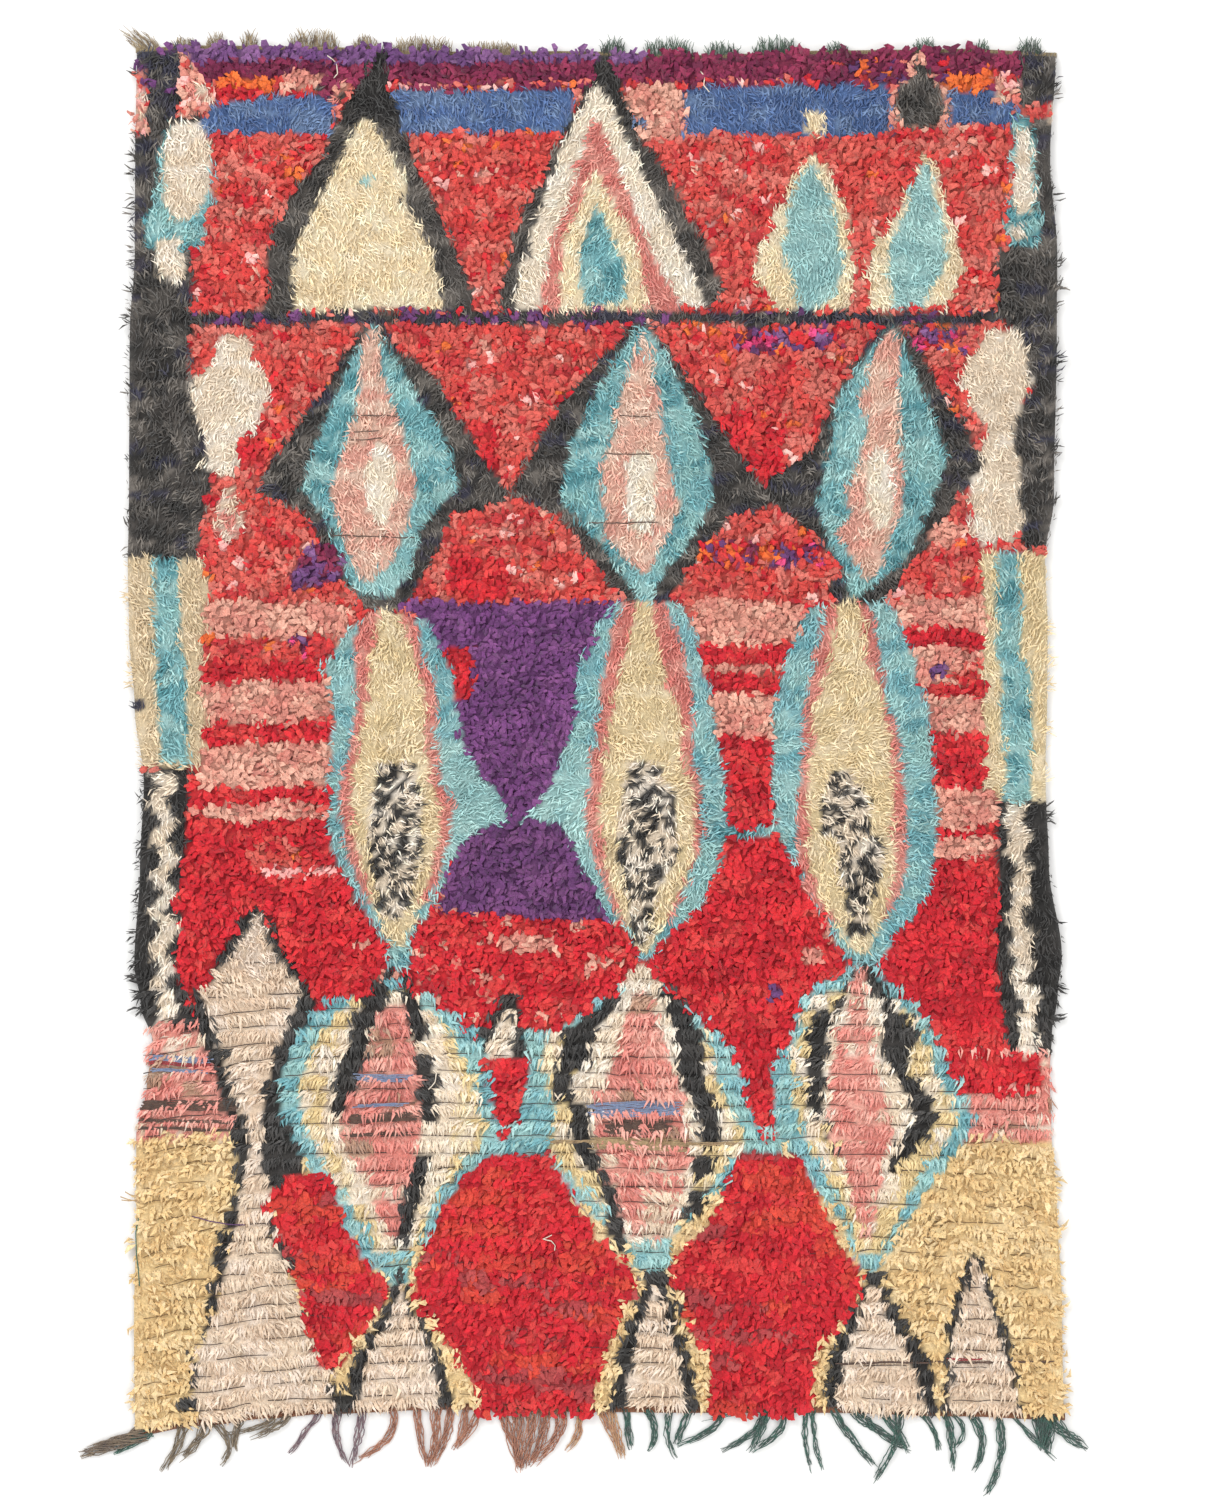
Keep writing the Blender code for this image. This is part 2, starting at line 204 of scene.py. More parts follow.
# The pattern, painted in this order. A motif is a dye and the motif's two edges at stations down the rug:
# centimetres from the far end, then west and east edge from the centre line.
Motif = namedtuple("Motif", "name dye stations")
PATTERN = (
    Motif("field", "coral_field", bar(-3.5, 194.1, -87.5, 89)),
    Motif("red field", "red_field", bar(143.3, 194.1, -87.5, 89)),
    Motif("far plum band", "plum", bar(-3.5, 5.5, -87.5, 89)),
    Motif("far violet band", "violet", bar(-3.5, 2.1, -74.3, 9.5)),
    Motif("plum flecks", "plum_mix", bar(1.8, 6, 41.3, 73.1)),
    Motif("plum edge", "plum_edge", bar(5.8, 7.4, -34.6, 71.3)),
    Motif("plum orange edge", "orange", bar(4.8, 7.1, 61.4, 69.2)),
    Motif("salmon knot", "salmon_mix", (
        (0.7, -74, -72.4), (2.8, -74, -70.4), (4.9, -75.9, -69.2), (8.1, -76.6, -67.1), (10.9, -75.9, -68.5),
        (12.7, -74.1, -69.9),
    )),
    Motif("orange bar", "orange", ((4.6, -66, -61.1), (5.3, -66.7, -56.8), (7.4, -66.4, -56.5))),
    Motif("salmon bar", "salmon", ((3.7, -54, -50.1), (4.9, -56, -49.1), (7.2, -55.4, -49.8))),
    Motif("speckled bar", "speckled", bar(4.6, 9.4, -49.6, -44.1)),
    Motif("dark red bar", "red", bar(6.9, 10.8, -66.7, -59.7)),
    Motif("blue bar 1", "blue", (
        (7.8, -59.7, -48.7), (8.8, -62.1, -47.3), (9.9, -68.8, -46.2), (13.8, -70.2, -46.2),
        (15, -68.8, -47.3),
    )),
    Motif("blue bar 2", "blue", bar(6.7, 14.8, -36.4, -3.9)),
    Motif("blue bar 3", "blue", bar(6.2, 15, 15.5, 52.8)),
    Motif("blue bar 4", "blue", bar(7.1, 13.4, 60.7, 74.7)),
    Motif("salmon patch", "salmon", ((6, 6.4, 14.8), (8.8, 5.3, 15.9), (15.7, 6.7, 15.5))),
    Motif("blue spot", "blue", bar(11.3, 13.4, 7.2, 9.7)),
    Motif("cream knot", "cream", ((10.6, 37.1, 39.9), (12.4, 36.4, 40.4), (15.2, 37.4, 39.9))),
    Motif("edged gable", "salmon", (
        (0.4, 57, 58.1), (4.4, 54.9, 60.2), (7.4, 52.6, 61.8), (10.6, 51.9, 62.5), (13.8, 52.2, 62.1),
    )),
    Motif("dark gable", "charcoal", (
        (1.4, 57.2, 58.1), (4.4, 55.6, 59.5), (7.4, 53.5, 60.9), (9.5, 52.9, 61.4), (12.4, 53.1, 61.2),
        (13.6, 54.2, 60.2),
    )),
    Motif("salmon knot east", "salmon_mix", bar(4.2, 9.2, 70.2, 79.1)),
    Motif("gable 1 legs", "charcoal", (
        (-0.4, -38.8, -37.8), (7.1, -42.9, -35.8), (13.8, -46.2, -34.1), (19.4, -49.1, -31.8),
        (25.6, -54.2, -28.9), (30.9, -57.5, -26.5), (36.2, -58.1, -24.2), (40.6, -58.1, -22.2),
        (45.9, -59, -21.5),
    )),
    Motif("gable 1 far tip", "black", (
        (-0.4, -38.8, -37.8), (7.1, -42.9, -35.8), (13.1, -46.1, -34.4), (13.8, -41.7, -39.5),
    )),
    Motif("gable 1", "cream", (
        (11.6, -41.3, -40.6), (14.5, -43.8, -38.1), (22.1, -46.9, -33.9), (27.7, -49.6, -33.5),
        (34.2, -53.1, -29.8), (41.5, -53.8, -27.5), (45.7, -53.1, -27.5),
    )),
    Motif("turquoise knot", "turquoise", bar(21.9, 23.8, -41.5, -39.4)),
    Motif("gable 2 legs", "charcoal", (
        (-0.7, 1.1, 2.1), (7.1, -1.8, 4.6), (14.1, -4.9, 7.1), (19.1, -8.5, 10.9), (27.2, -12.9, 15.2),
        (35.8, -15.5, 20.1), (42, -16.9, 22.9), (45.7, -16.9, 21.2),
    )),
    Motif("gable 2 far tip", "black", (
        (-0.7, 1.1, 2.1), (6, -1.4, 4.6), (14.1, -5.3, 7.8), (14.3, 0.7, 0.9),
    )),
    Motif("gable 2 white", "white_ivory", (
        (6, -0.2, 1.2), (14.6, -4.6, 5.3), (22.4, -8.3, 8.5), (31.1, -11.1, 12.7), (40.1, -14.1, 17.5),
        (45.7, -14.3, 19.9),
    )),
    Motif("gable 2 pink", "pink", (
        (12.7, 0, 0.9), (24.5, -4.6, 5.6), (34.9, -8.3, 9.4), (44.1, -9.7, 14.5), (46.1, -9.9, 15.2),
    )),
    Motif("gable 2 cream", "cream", (
        (21.5, -0.5, 0.2), (30.7, -5.1, 5.6), (39.7, -6.7, 8.8), (45.7, -6.4, 9.5),
    )),
    Motif("gable 2 turquoise", "turquoise", (
        (27.5, -0.4, 0.4), (32.8, -2.1, 2.8), (40.2, -3, 5.6), (44.8, -1.4, 4.2),
    )),
    Motif("leaf 1 cream", "cream", (
        (18.4, 37.6, 39.2), (22.1, 34.9, 41.8), (26.5, 33.7, 43.6), (28.9, 31.4, 44.3), (34.4, 28.6, 45.4),
        (37.4, 28.1, 46.1), (40.9, 28.4, 45.4), (45.7, 31.1, 45.4),
    )),
    Motif("leaf 1 turquoise", "pale_turquoise", (
        (19.8, 37.9, 38.8), (22.2, 36.5, 40.1), (25.1, 35.1, 40.9), (31.2, 33.7, 42.7), (37.2, 33.4, 43.9),
        (40.6, 34.1, 42.9), (43.4, 35.7, 41.5), (45.9, 36.7, 38.5),
    )),
    Motif("leaf 2 cream", "cream", (
        (18.4, 57.5, 59), (21.5, 55.8, 60), (27.4, 54, 61.6), (30.4, 51.9, 62.5), (33.5, 48.9, 63.7),
        (38.8, 47.8, 65.3), (42.4, 48, 63.9), (45.7, 48.4, 60.7),
    )),
    Motif("leaf 2 turquoise", "pale_turquoise", (
        (19.8, 57.5, 58.6), (22.9, 56, 59.3), (27.4, 54.7, 60.2), (32.1, 52.6, 61.4), (36.7, 51.2, 62),
        (40.9, 51.9, 60.4), (45.5, 52.9, 57.2),
    )),
    Motif("navy line", "navy_mix", bar(46.1, 48.5, -71.7, 71.3)),
    Motif("violet flecks 1", "violet_mix", bar(49.1, 53.3, 24.5, 43.4)),
    Motif("violet flecks 2", "violet_mix", bar(49.1, 53.3, 55.8, 65.1)),
    Motif("west border", "dark_mix", (
        (12, -87.5, -69.9), (58.8, -87.5, -71.8), (62.7, -87.5, -68.8), (67.2, -87.5, -66),
        (71.8, -87.5, -67.4), (80.7, -87.5, -68.8), (89.7, -87.5, -70.2),
    )),
    Motif("west corner", "navy_mix", bar(-1.8, 12, -87.5, -73.4)),
    Motif("west corner edge", "salmon_mix", bar(3.9, 14.8, -87.5, -79.8)),
    Motif("west border foot", "dark_mix", bar(74.1, 89.7, -87.5, -70.6)),
    Motif("west border turquoise", "turquoise", (
        (12.7, -75.5, -69.9), (17.6, -77.3, -67.4), (26.5, -77.7, -67.4), (29.8, -79.8, -68.5),
        (34.8, -79.4, -69.9), (35.3, -77, -71.7),
    )),
    Motif("west border white", "ivory", (
        (12.7, -74.8, -69.9), (16.8, -76.6, -67.8), (25.6, -76.6, -68.5), (30.4, -75.2, -71.3),
    )),
    Motif("west border knot", "ivory", ((33.5, -77.3, -73.1), (37.4, -78.4, -72), (40.4, -77, -73.4))),
    Motif("west white lozenge", "ivory", (
        (49.6, -65.3, -61.4), (52.9, -67.8, -60.4), (55.6, -68.5, -59.3), (58.2, -71.7, -57.2),
        (61.8, -72, -57.9), (63.9, -71.3, -58.6), (67.1, -69.2, -60.4), (71.5, -68.5, -61.8),
        (73.4, -69.5, -62.8), (75.2, -66, -63.5),
    )),
    Motif("west white tail", "pink_ivory", (
        (77.1, -65.7, -63.9), (82.1, -67.4, -62.1), (86.7, -66.7, -62.8),
    )),
    Motif("east border", "dark_mix", (
        (12, 74.8, 89), (33.9, 74.1, 89), (35.3, 70.6, 89), (47.5, 70.2, 89), (48.9, 73.4, 89),
        (52.1, 75.9, 89), (59.1, 77.3, 89), (62.7, 75.5, 89), (67.2, 73.4, 89), (71.5, 73.8, 89),
        (75.9, 74.5, 89), (87.9, 75.2, 89),
    )),
    Motif("east corner", "dark_mix", bar(-1.8, 9.5, 74.8, 89)),
    Motif("east corner edge", "ivory_pink", bar(9.2, 12.7, 80.1, 89)),
    Motif("east border turquoise", "turquoise", (
        (11.3, 73.4, 75.9), (15.9, 73.4, 77.7), (24.7, 73.1, 78.2), (28.6, 72, 78), (30.9, 71.8, 78.7),
        (34.8, 72.7, 77.3),
    )),
    Motif("east border white", "ivory", (
        (13.4, 74.1, 76.2), (17.6, 74, 77.1), (21.2, 73.4, 77), (26.5, 73.6, 78), (28.8, 74.1, 76.6),
    )),
    Motif("east border knot", "ivory", bar(30.7, 33.5, 72.9, 75.5)),
    Motif("east white lozenge", "ivory", (
        (49.2, 68.8, 73.8), (52.1, 67.1, 75.9), (55.6, 65.3, 76.6), (58.8, 63.9, 77.3), (62.7, 66, 75.2),
        (67.2, 68.8, 73.8), (71.5, 66.7, 74.5), (75.4, 65.7, 74.8), (83.5, 66.2, 75.4), (85.6, 66.7, 75.2),
        (87.4, 68.7, 73.1),
    )),
    Motif("crimson patch 1", "red", (
        (65.3, -22.2, -18), (67.1, -24.4, -16.9), (70.6, -23.3, -17.3), (72.7, -20.1, -16.9),
        (75.9, -17.6, -14.8),
    )),
    Motif("crimson patch 2", "red", ((67.1, -61.4, -59), (69.9, -62.8, -58.2), (73.1, -61.8, -59.7))),
    Motif("crimson patch 3", "red", (
        (63.9, 22.6, 27.5), (67.1, 19.4, 31.1), (71, 21.2, 33.2), (74.8, 25.1, 32.8), (77.7, 27.5, 30.7),
    )),
    Motif("crimson patch 4", "red", ((90, -25.4, -16.9), (94.3, -26.5, -14.8), (97.1, -23.7, -16.9))),
    Motif("lozenge 1 outline", "dark_mix", (
        (48, -40.6, -38.5), (52.9, -44.1, -34.2), (58.2, -47.3, -27.9), (68.7, -55.1, -21.5),
        (74.1, -58.4, -18.4), (78, -60.4, -14.8), (80.5, -54, -16.9), (82.2, -51.5, -24.7),
        (86.5, -49.1, -27.2), (90.7, -46.2, -29.3), (95.3, -43.8, -32.1), (99, -40.9, -34.9),
    )),
    Motif("lozenge 2 outline", "dark_mix", (
        (48, 7.4, 9.2), (59.1, -4.2, 17.3), (65.8, -8.5, 21.5), (73.1, -12.4, 27), (78, -15.2, 29.7),
        (80.8, -9.9, 30.7), (82.2, -6.4, 23.3), (88.2, -2.5, 19.4), (95.3, 3.2, 14.1), (98.5, 6, 11.3),
    )),
    Motif("lozenge 3 outline", "dark_mix", (
        (48, 50.8, 53.3), (54.7, 45.9, 58.2), (60.5, 42.4, 61.8), (69.9, 37.8, 67.4), (73.1, 33.9, 68.5),
        (76.6, 29.3, 66), (80.1, 30.4, 63.5), (86.1, 39.5, 59.8), (91.6, 42.4, 55.1), (95.3, 40.9, 53.7),
        (98.7, 42, 48.7),
    )),
    Motif("lozenge 1 turquoise", "turquoise", (
        (48.5, -39.9, -39), (52.9, -42.7, -36.4), (58.2, -44.8, -33.2), (68.5, -49.6, -26.8),
        (77.1, -52.2, -24), (83.5, -47.3, -30.4), (93.4, -44.1, -33.5), (96.4, -41.3, -36),
    )),
    Motif("lozenge 1 pink", "pale_pink", (
        (49.1, -40.6, -39.4), (52.1, -41.5, -38.1), (58.2, -41.7, -37.6), (64.4, -42.7, -35.3),
        (68.8, -44.1, -33.5), (73.2, -45.9, -32.3), (78.5, -46.8, -31.8), (84.7, -45, -33.7),
        (90, -43.4, -35.7), (93.9, -40.8, -38.8),
    )),
    Motif("lozenge 1 cream", "white_ivory", (
        (68.8, -38.8, -37.1), (73.4, -40.9, -35.3), (79.4, -40.9, -35.3), (83.8, -39.2, -37.1),
    )),
    Motif("lozenge 2 turquoise", "turquoise", (
        (48.5, 7.9, 8.8), (59.1, 0.4, 15.2), (70.8, -4.9, 19.8), (79.4, -6.2, 20.8), (87.9, 1.1, 15.9),
        (94.4, 5.8, 10.9), (97.6, 7.8, 9.2),
    )),
    Motif("lozenge 2 pink", "pale_pink", (
        (50.3, 7.9, 8.8), (58.2, 4.9, 10.2), (73.2, 1.2, 13.1), (80.8, 1.2, 14.8), (87, 1.8, 11.5),
        (92, 7.4, 9.5),
    )),
    Motif("lozenge 2 cream", "white_ivory", (
        (70.6, 6.7, 9.2), (73.4, 5.1, 10.6), (82.6, 5.1, 10.6), (85.2, 6.7, 9.2),
    )),
    Motif("lozenge 3 turquoise", "turquoise", (
        (48.5, 51.7, 52.4), (60, 43.2, 57.9), (71, 40.6, 62.1), (80.3, 38.8, 59.7), (90.2, 42.4, 54.4),
        (96.5, 44.8, 46.6),
    )),
    Motif("lozenge 3 pink", "pale_pink", (
        (49.1, 51.2, 52.6), (52.1, 49.8, 53.3), (57.4, 47.5, 53.8), (62.7, 46.8, 53.8), (67.1, 48, 53.8),
        (71.5, 46.4, 54), (76.8, 44.5, 54.5), (82.1, 44.8, 53.7), (85.1, 42.7, 51.9), (90.9, 45.7, 50.3),
        (93.5, 47.3, 48.7),
    )),
    Motif("lozenge 3 cream", "white_ivory", (
        (69.9, 49.4, 51.5), (73.1, 48, 52.6), (81.5, 48, 52.6), (84.4, 49.4, 51.5),
    )),
    Motif("violet patch 1", "plum_violet", (
        (87, -49.4, -47.3), (88.6, -51.2, -45.5), (91.1, -52.9, -44.8), (93.2, -54.4, -44.7),
        (95.1, -53.3, -49.4),
    )),
    Motif("violet flecks 3", "violet_mix", bar(86.5, 91.1, 18.4, 39.5)),
    Motif("west panel cream", "panel_cream", bar(89.7, 126.4, -87.5, -68.5)),
    Motif("west panel turquoise", "turquoise", ((89.7, -78.4, -73.4), (125.8, -77, -72))),
    Motif("west panel spot", "navy", bar(114.7, 116.7, -82.1, -79.8)),
    Motif("east panel cream", "warm_cream", bar(88.4, 132.7, 67.8, 89)),
    Motif("east panel turquoise", "turquoise", (
        (88.6, 70.8, 75), (107.3, 70.8, 75), (109.8, 72, 76.8), (132.6, 72, 76.8),
    )),
    Motif("stripe w1", "salmon", (
        (97.4, -67.4, -43.4), (101, -69.2, -43.4), (103.1, -67.1, -43.4), (104.5, -61.1, -46.9),
    )),
    Motif("stripe w2", "coral_field", bar(103.8, 107.8, -69.2, -43.4)),
    Motif("stripe w3", "red", bar(107.8, 112.3, -69.2, -43.4)),
    Motif("stripe w4", "salmon", (
        (111.5, -67.4, -43.4), (113, -69.2, -43.4), (117.5, -68.8, -43.4), (119.5, -69.2, -59),
    )),
    Motif("stripe w5", "red", bar(119, 122.7, -69.2, -43.4)),
    Motif("stripe w6", "salmon", (
        (122.1, -59.7, -43.4), (123.5, -70.2, -43.4), (128.8, -69.9, -43.4), (130.4, -69.2, -54),
    )),
    Motif("stripe w7", "red", bar(130.3, 133.4, -71.7, -43.4)),
    Motif("stripe w8", "salmon", (
        (132.9, -64.2, -43.4), (134, -71.7, -52.2), (135.2, -69.9, -43.4), (136.4, -61.1, -45.2),
    )),
    Motif("stripe w9", "red", bar(136.1, 173, -73.8, -43.4)),
    Motif("stripe mark", "violet_mix", (
        (103.4, -54.7, -49.8), (105.5, -54, -50.5), (105.9, -52.8, -51.2), (108.4, -52.8, -51.2),
    )),
    Motif("stripe m1", "salmon", (
        (97.1, 18.4, 28.9), (98.5, 16.6, 36), (103.4, 16.6, 36), (105.5, 16.6, 25.4),
    )),
    Motif("stripe m2", "red", bar(105, 108.7, 16.6, 34.2)),
    Motif("stripe m3", "salmon", bar(108.7, 110, 16.6, 34.2)),
    Motif("stripe m4", "red", bar(110, 114.5, 16.6, 34.2)),
    Motif("stripe m5", "salmon", (
        (113.8, 21.2, 34.2), (115.1, 16.6, 34.2), (120, 16.6, 34.2), (121.8, 16.6, 23.7),
    )),
    Motif("stripe m6", "red", bar(121.3, 192.4, 16.6, 36)),
    Motif("stripe e1", "salmon", ((83.7, 60.7, 66.4), (85.4, 58.2, 65.7), (87.7, 59.7, 64.2))),
    Motif("stripe e3", "salmon", bar(96.5, 102.5, 53.7, 68.5)),
    Motif("stripe e4", "red", ((101.7, 53.7, 65.3), (102.9, 53.7, 68.5), (105.9, 53.7, 68.5))),
    Motif("stripe e5", "salmon", (
        (105.5, 54.4, 62.8), (106.8, 53.7, 68.5), (110.5, 53.7, 61.8), (112.3, 53.7, 68.5),
    )),
    Motif("stripe e6", "red", bar(111.9, 114.7, 53.7, 68.5)),
    Motif("stripe e7", "salmon", (
        (114, 56.5, 68.5), (115.1, 53.7, 68.5), (119.7, 53.7, 68.5), (121.6, 55.1, 60.7),
    )),
    Motif("stripe e8", "red", bar(120.9, 131.1, 53.7, 68.5)),
    Motif("stripe e9", "salmon", (
        (130.6, 59, 69.5), (131.7, 53.7, 71.3), (136.3, 53.7, 71.3), (138, 53.7, 64.2),
    )),
    Motif("stripe e10", "red", bar(137.7, 139.8, 53.7, 71.3)),
    Motif("stripe e11", "salmon", (
        (139.1, 57.2, 71.3), (140.3, 53.7, 71.3), (142.3, 53.7, 69.5), (143.3, 59, 64.2),
    )),
    Motif("stripe e12", "red", bar(143, 180, 50.1, 73.1)),
    Motif("stripe spot", "violet", bar(108.9, 111, 59, 61.4)),
    Motif("purple cup", "light_purple", (
        (97.3, -34.6, 4.6), (100.6, -31.4, 2.8), (104.1, -28.9, 1.4), (107.7, -26.8, -0.4),
        (114.7, -25.4, -2.8), (121.4, -24.4, -3.7), (125.8, -23.7, -5.3), (130.6, -19.4, -7.8),
        (132.4, -18, -9.9), (137.3, -16.8, -12.7),
    )),
    Motif("purple cup patch", "red", bar(105.5, 114.4, -26.5, -21.7)),
    Motif("long lozenge 1", "soft_turquoise", (
        (98.5, -38.1, -36.7), (101.5, -43.2, -29.3), (108.7, -48.2, -25.8), (113.8, -47.3, -25.1),
        (119, -46.4, -24), (125.8, -46.9, -22.6), (129.7, -47.7, -18.7), (133.3, -47.8, -15.5),
        (137, -47.8, -14.8), (138.7, -47.3, -21.2), (143, -45.9, -24.7), (147, -43.8, -26.7),
        (152.8, -40.6, -29.3), (157.1, -37.4, -31.4), (162, -36.9, -32.1),
    )),
    Motif("long lozenge 2", "soft_turquoise", (
        (97.4, 2.8, 14.1), (101, 0.4, 16.6), (104.1, -0.7, 18), (110, -3.5, 19.4), (118.1, -4.4, 20.8),
        (125.8, -6.2, 22.2), (130.6, -8.8, 23.3), (135, -12.7, 23.7), (137.7, -14.1, 23.7),
        (138.7, -6.4, 23.3), (143.3, -3.2, 22.2), (148.3, -0.7, 20.5), (152.8, 1.8, 16.9), (156.2, 5.1, 12.7),
        (160.3, 7.4, 9.5),
    )),
    Motif("long lozenge 3", "soft_turquoise", (
        (97.4, 38.1, 51.9), (101, 36, 53.7), (105.9, 33.9, 55.8), (114.7, 31.2, 58.2), (120, 30.9, 59),
        (128.8, 30.7, 59.7), (134.1, 31.1, 60.4), (138.9, 32.5, 60.4), (143, 34.6, 59.7), (148.8, 37.1, 59.3),
        (153.6, 40.6, 55.8), (158, 42.7, 52.2), (161.7, 44.8, 49.8),
    )),
    Motif("long lozenge 1 wing", "pale_turquoise", (
        (121.4, -28.2, -24), (129.7, -27.5, -18.7), (133.3, -26.5, -15.5), (137, -26.1, -14.8),
        (139.1, -26.8, -21.2), (143.3, -27.5, -24.7),
    )),
    Motif("long lozenge 2 wing", "pale_turquoise", (
        (122.7, -4.9, 1.8), (130.6, -8.8, 1.8), (135, -12.7, 1.8), (137.7, -14.1, 1.8), (139.1, -6.4, 1.8),
        (145.1, -2.5, 2.5),
    )),
    Motif("long lozenge 1 pink", "pink", (
        (99.2, -40.9, -32.5), (104.1, -42.5, -30.9), (110.3, -42.4, -28.9), (115.8, -42.4, -28.2),
        (121.4, -43.1, -27.9), (128, -44.8, -27.5), (133.4, -45.5, -25.4), (138.2, -44.8, -25.4),
        (145.6, -42.7, -27.5), (151.1, -40.6, -30),
    )),
    Motif("long lozenge 2 pink", "pink", (
        (97.4, 4.9, 11.6), (102.4, 2.6, 13.8), (107.7, 1.8, 15.9), (114.7, 0.4, 16.9), (123.5, -0.4, 17.3),
        (132.4, -1.4, 18.9), (137.7, -1.4, 19.1), (141.2, -0.7, 18.4), (148.8, 1.9, 15.2), (154.4, 4.6, 12.7),
    )),
    Motif("long lozenge 3 pink", "pink", (
        (97.4, 40.2, 48), (105.9, 38.7, 50.1), (114.7, 37.1, 51.5), (121.3, 36.7, 53.3), (130.6, 35.8, 54.7),
        (138.9, 35.5, 55.1), (143.8, 35.7, 54.9), (148.8, 37.1, 53.7), (153.6, 41.3, 51.2),
    )),
    Motif("long lozenge 1 cream", "warm_cream", (
        (98.8, -38.5, -35.3), (104.7, -39.4, -32.1), (110.3, -40.2, -31.1), (115.8, -40.8, -30),
        (121.4, -41.7, -29.7), (128, -43.1, -29.1), (133.4, -43.6, -27.4), (138.2, -43.1, -27.4),
        (145.6, -41.3, -29.1), (151.1, -39.4, -31.1), (154.8, -37.4, -32.8), (158, -36.4, -33.5),
    )),
    Motif("long lozenge 2 cream", "warm_cream", (
        (97.6, 7.2, 9.7), (104.1, 5.6, 10.6), (111.2, 3.9, 12.4), (116.5, 2.6, 14.8), (124.4, 1.1, 15.5),
        (133.1, 0.7, 17.6), (139.4, 0.7, 17.8), (145.6, 2.1, 16.2), (150.9, 3.9, 13.4), (155.7, 5.6, 11.3),
        (159.2, 7.4, 9.2),
    )),
    Motif("long lozenge 3 cream", "warm_cream", (
        (97.4, 42, 46.4), (105.9, 41.8, 47.7), (114.7, 38.8, 50.8), (121.3, 38.1, 51.9), (130.8, 37.4, 52.9),
        (137.7, 37.2, 52.6), (144.7, 37.8, 52.9), (148.8, 39.2, 52.2), (153.6, 42.7, 50.5), (159.6, 45.2, 48),
    )),
    Motif("fleck 1", "flecked", (
        (125.7, -38.5, -32.1), (132.4, -39.9, -30.4), (141.2, -40.6, -30.7), (148.8, -38.8, -32.8),
        (153.2, -37.9, -33.9),
    )),
    Motif("fleck 2", "flecked", (
        (125.7, 6, 10.9), (132.4, 4.2, 14.1), (141.2, 3.5, 14.8), (147.9, 5.1, 11.3), (157.8, 6.9, 8.6),
    )),
    Motif("fleck 3", "flecked", (
        (127.1, 41.5, 44.5), (132.4, 40.1, 48.7), (138.4, 40.1, 48.7), (139.1, 42.5, 50.5),
        (145.3, 42.9, 50.5), (148.3, 44.1, 49.1), (156.4, 44.8, 47.7),
    )),
    Motif("purple dome", "purple", (
        (136.3, -18, -6.7), (138.4, -22.1, -5.3), (143.3, -24.7, -3.2), (147, -26.5, -1.1),
        (152.8, -27.5, 1.8), (155.3, -26.1, 2.1), (157.4, -18.7, 0.7),
    )),
    Motif("coral patch west", "coral_field", (
        (138.7, -59, -55.1), (141.2, -60.7, -51.9), (144, -59.7, -52.9), (145.8, -57.9, -55.4),
    )),
    Motif("light streak west", "light_pink", ((144.4, -59, -46.6), (145.6, -57.5, -45.5))),
    Motif("red fan 1", "red_field", (
        (152.1, -28.2, -27.5), (153.9, -31.8, 4.2), (158.8, -32.8, 6.7), (163.3, -32.5, 4.2),
        (166.4, -30.4, 0.7), (169.8, -27.5, -4.2), (173.5, -21.2, -8.1), (174.7, -16.9, -14.1),
    )),
    Motif("salmon fan mark", "salmon", bar(156.4, 159.2, -16.9, -6.4)),
    Motif("small gable", "black", (
        (167.3, -15.9, -14.1), (172.6, -19.4, -12.7), (174.7, -20.8, -11.8), (178.3, -20.7, -11.6),
    )),
    Motif("small gable white", "ivory", (
        (169.8, -16.1, -14.5), (174.7, -18.4, -14.6), (177.9, -19.1, -14.8),
    )),
    Motif("neck 1", "red", (
        (177.9, -19.9, -11.3), (183.4, -19.1, -11.6), (190.3, -18, -13.6), (193.1, -16.9, -15.9),
    )),
    Motif("turquoise link", "turquoise", bar(137, 139.1, 20.8, 31.8)),
    Motif("salmon patch east", "salmon", ((158.5, 36, 39.9), (161.1, 36.4, 39.5))),
    Motif("violet knot", "violet", bar(165.6, 167.3, 30, 32.1)),
    Motif("west zigzag black", "black", (
        (126.7, -87.5, -71.5), (132.6, -87.5, -71.8), (150, -87.5, -73.4), (162.4, -87.5, -74.1),
        (173.1, -87.5, -70.6),
    )),
    Motif("west zigzag white", "ivory", (
        (127.4, -79.1, -74.8), (130.6, -77.3, -74.1), (133.3, -79.6, -76.2), (136.3, -77, -73.4),
        (139.4, -79.2, -76.1), (142.6, -76.4, -72.9), (145.8, -78.9, -75.7), (149, -76.8, -73.4),
        (152.1, -79.2, -76.2), (155.3, -76.8, -73.2), (158.8, -79.4, -76.2), (162.4, -77.3, -74),
        (165.9, -78.9, -75.9), (169.4, -77, -73.2), (173.1, -78.4, -75.2),
    )),
    Motif("east zigzag black", "black", (
        (132.6, 70.8, 89), (150, 70.8, 89), (160.1, 71, 89), (167.7, 71.5, 89), (177.7, 73.1, 89),
    )),
    Motif("east zigzag white", "ivory", (
        (132.9, 72.4, 75.5), (135.9, 72.2, 75.4), (139.1, 73.6, 77.3), (141.6, 72.2, 75.2), (144.4, 74.5, 77),
        (147.4, 72.7, 76.2), (150.4, 74, 77.5), (153.2, 72.4, 75.4), (156, 74.3, 77.8), (158.8, 72.9, 76.2),
        (161.7, 74.5, 77.8), (164.5, 73.2, 76.2), (167.7, 75.2, 78.5), (170.9, 74, 77.1), (174.4, 75.4, 78.7),
        (177.6, 74.7, 77.7),
    )),
    Motif("west worn panel", "worn_pink", bar(173, 192.7, -87.5, -52.2)),
    Motif("east worn panel", "worn_pink", bar(177.6, 193.6, 59, 89)),
    Motif("east red stripe", "red", bar(177.9, 184.4, 60, 78.7)),
    Motif("near ground", "yellow", bar(192.7, 247.1, -87.5, 89)),
    Motif("white lozenge outline", "black", (
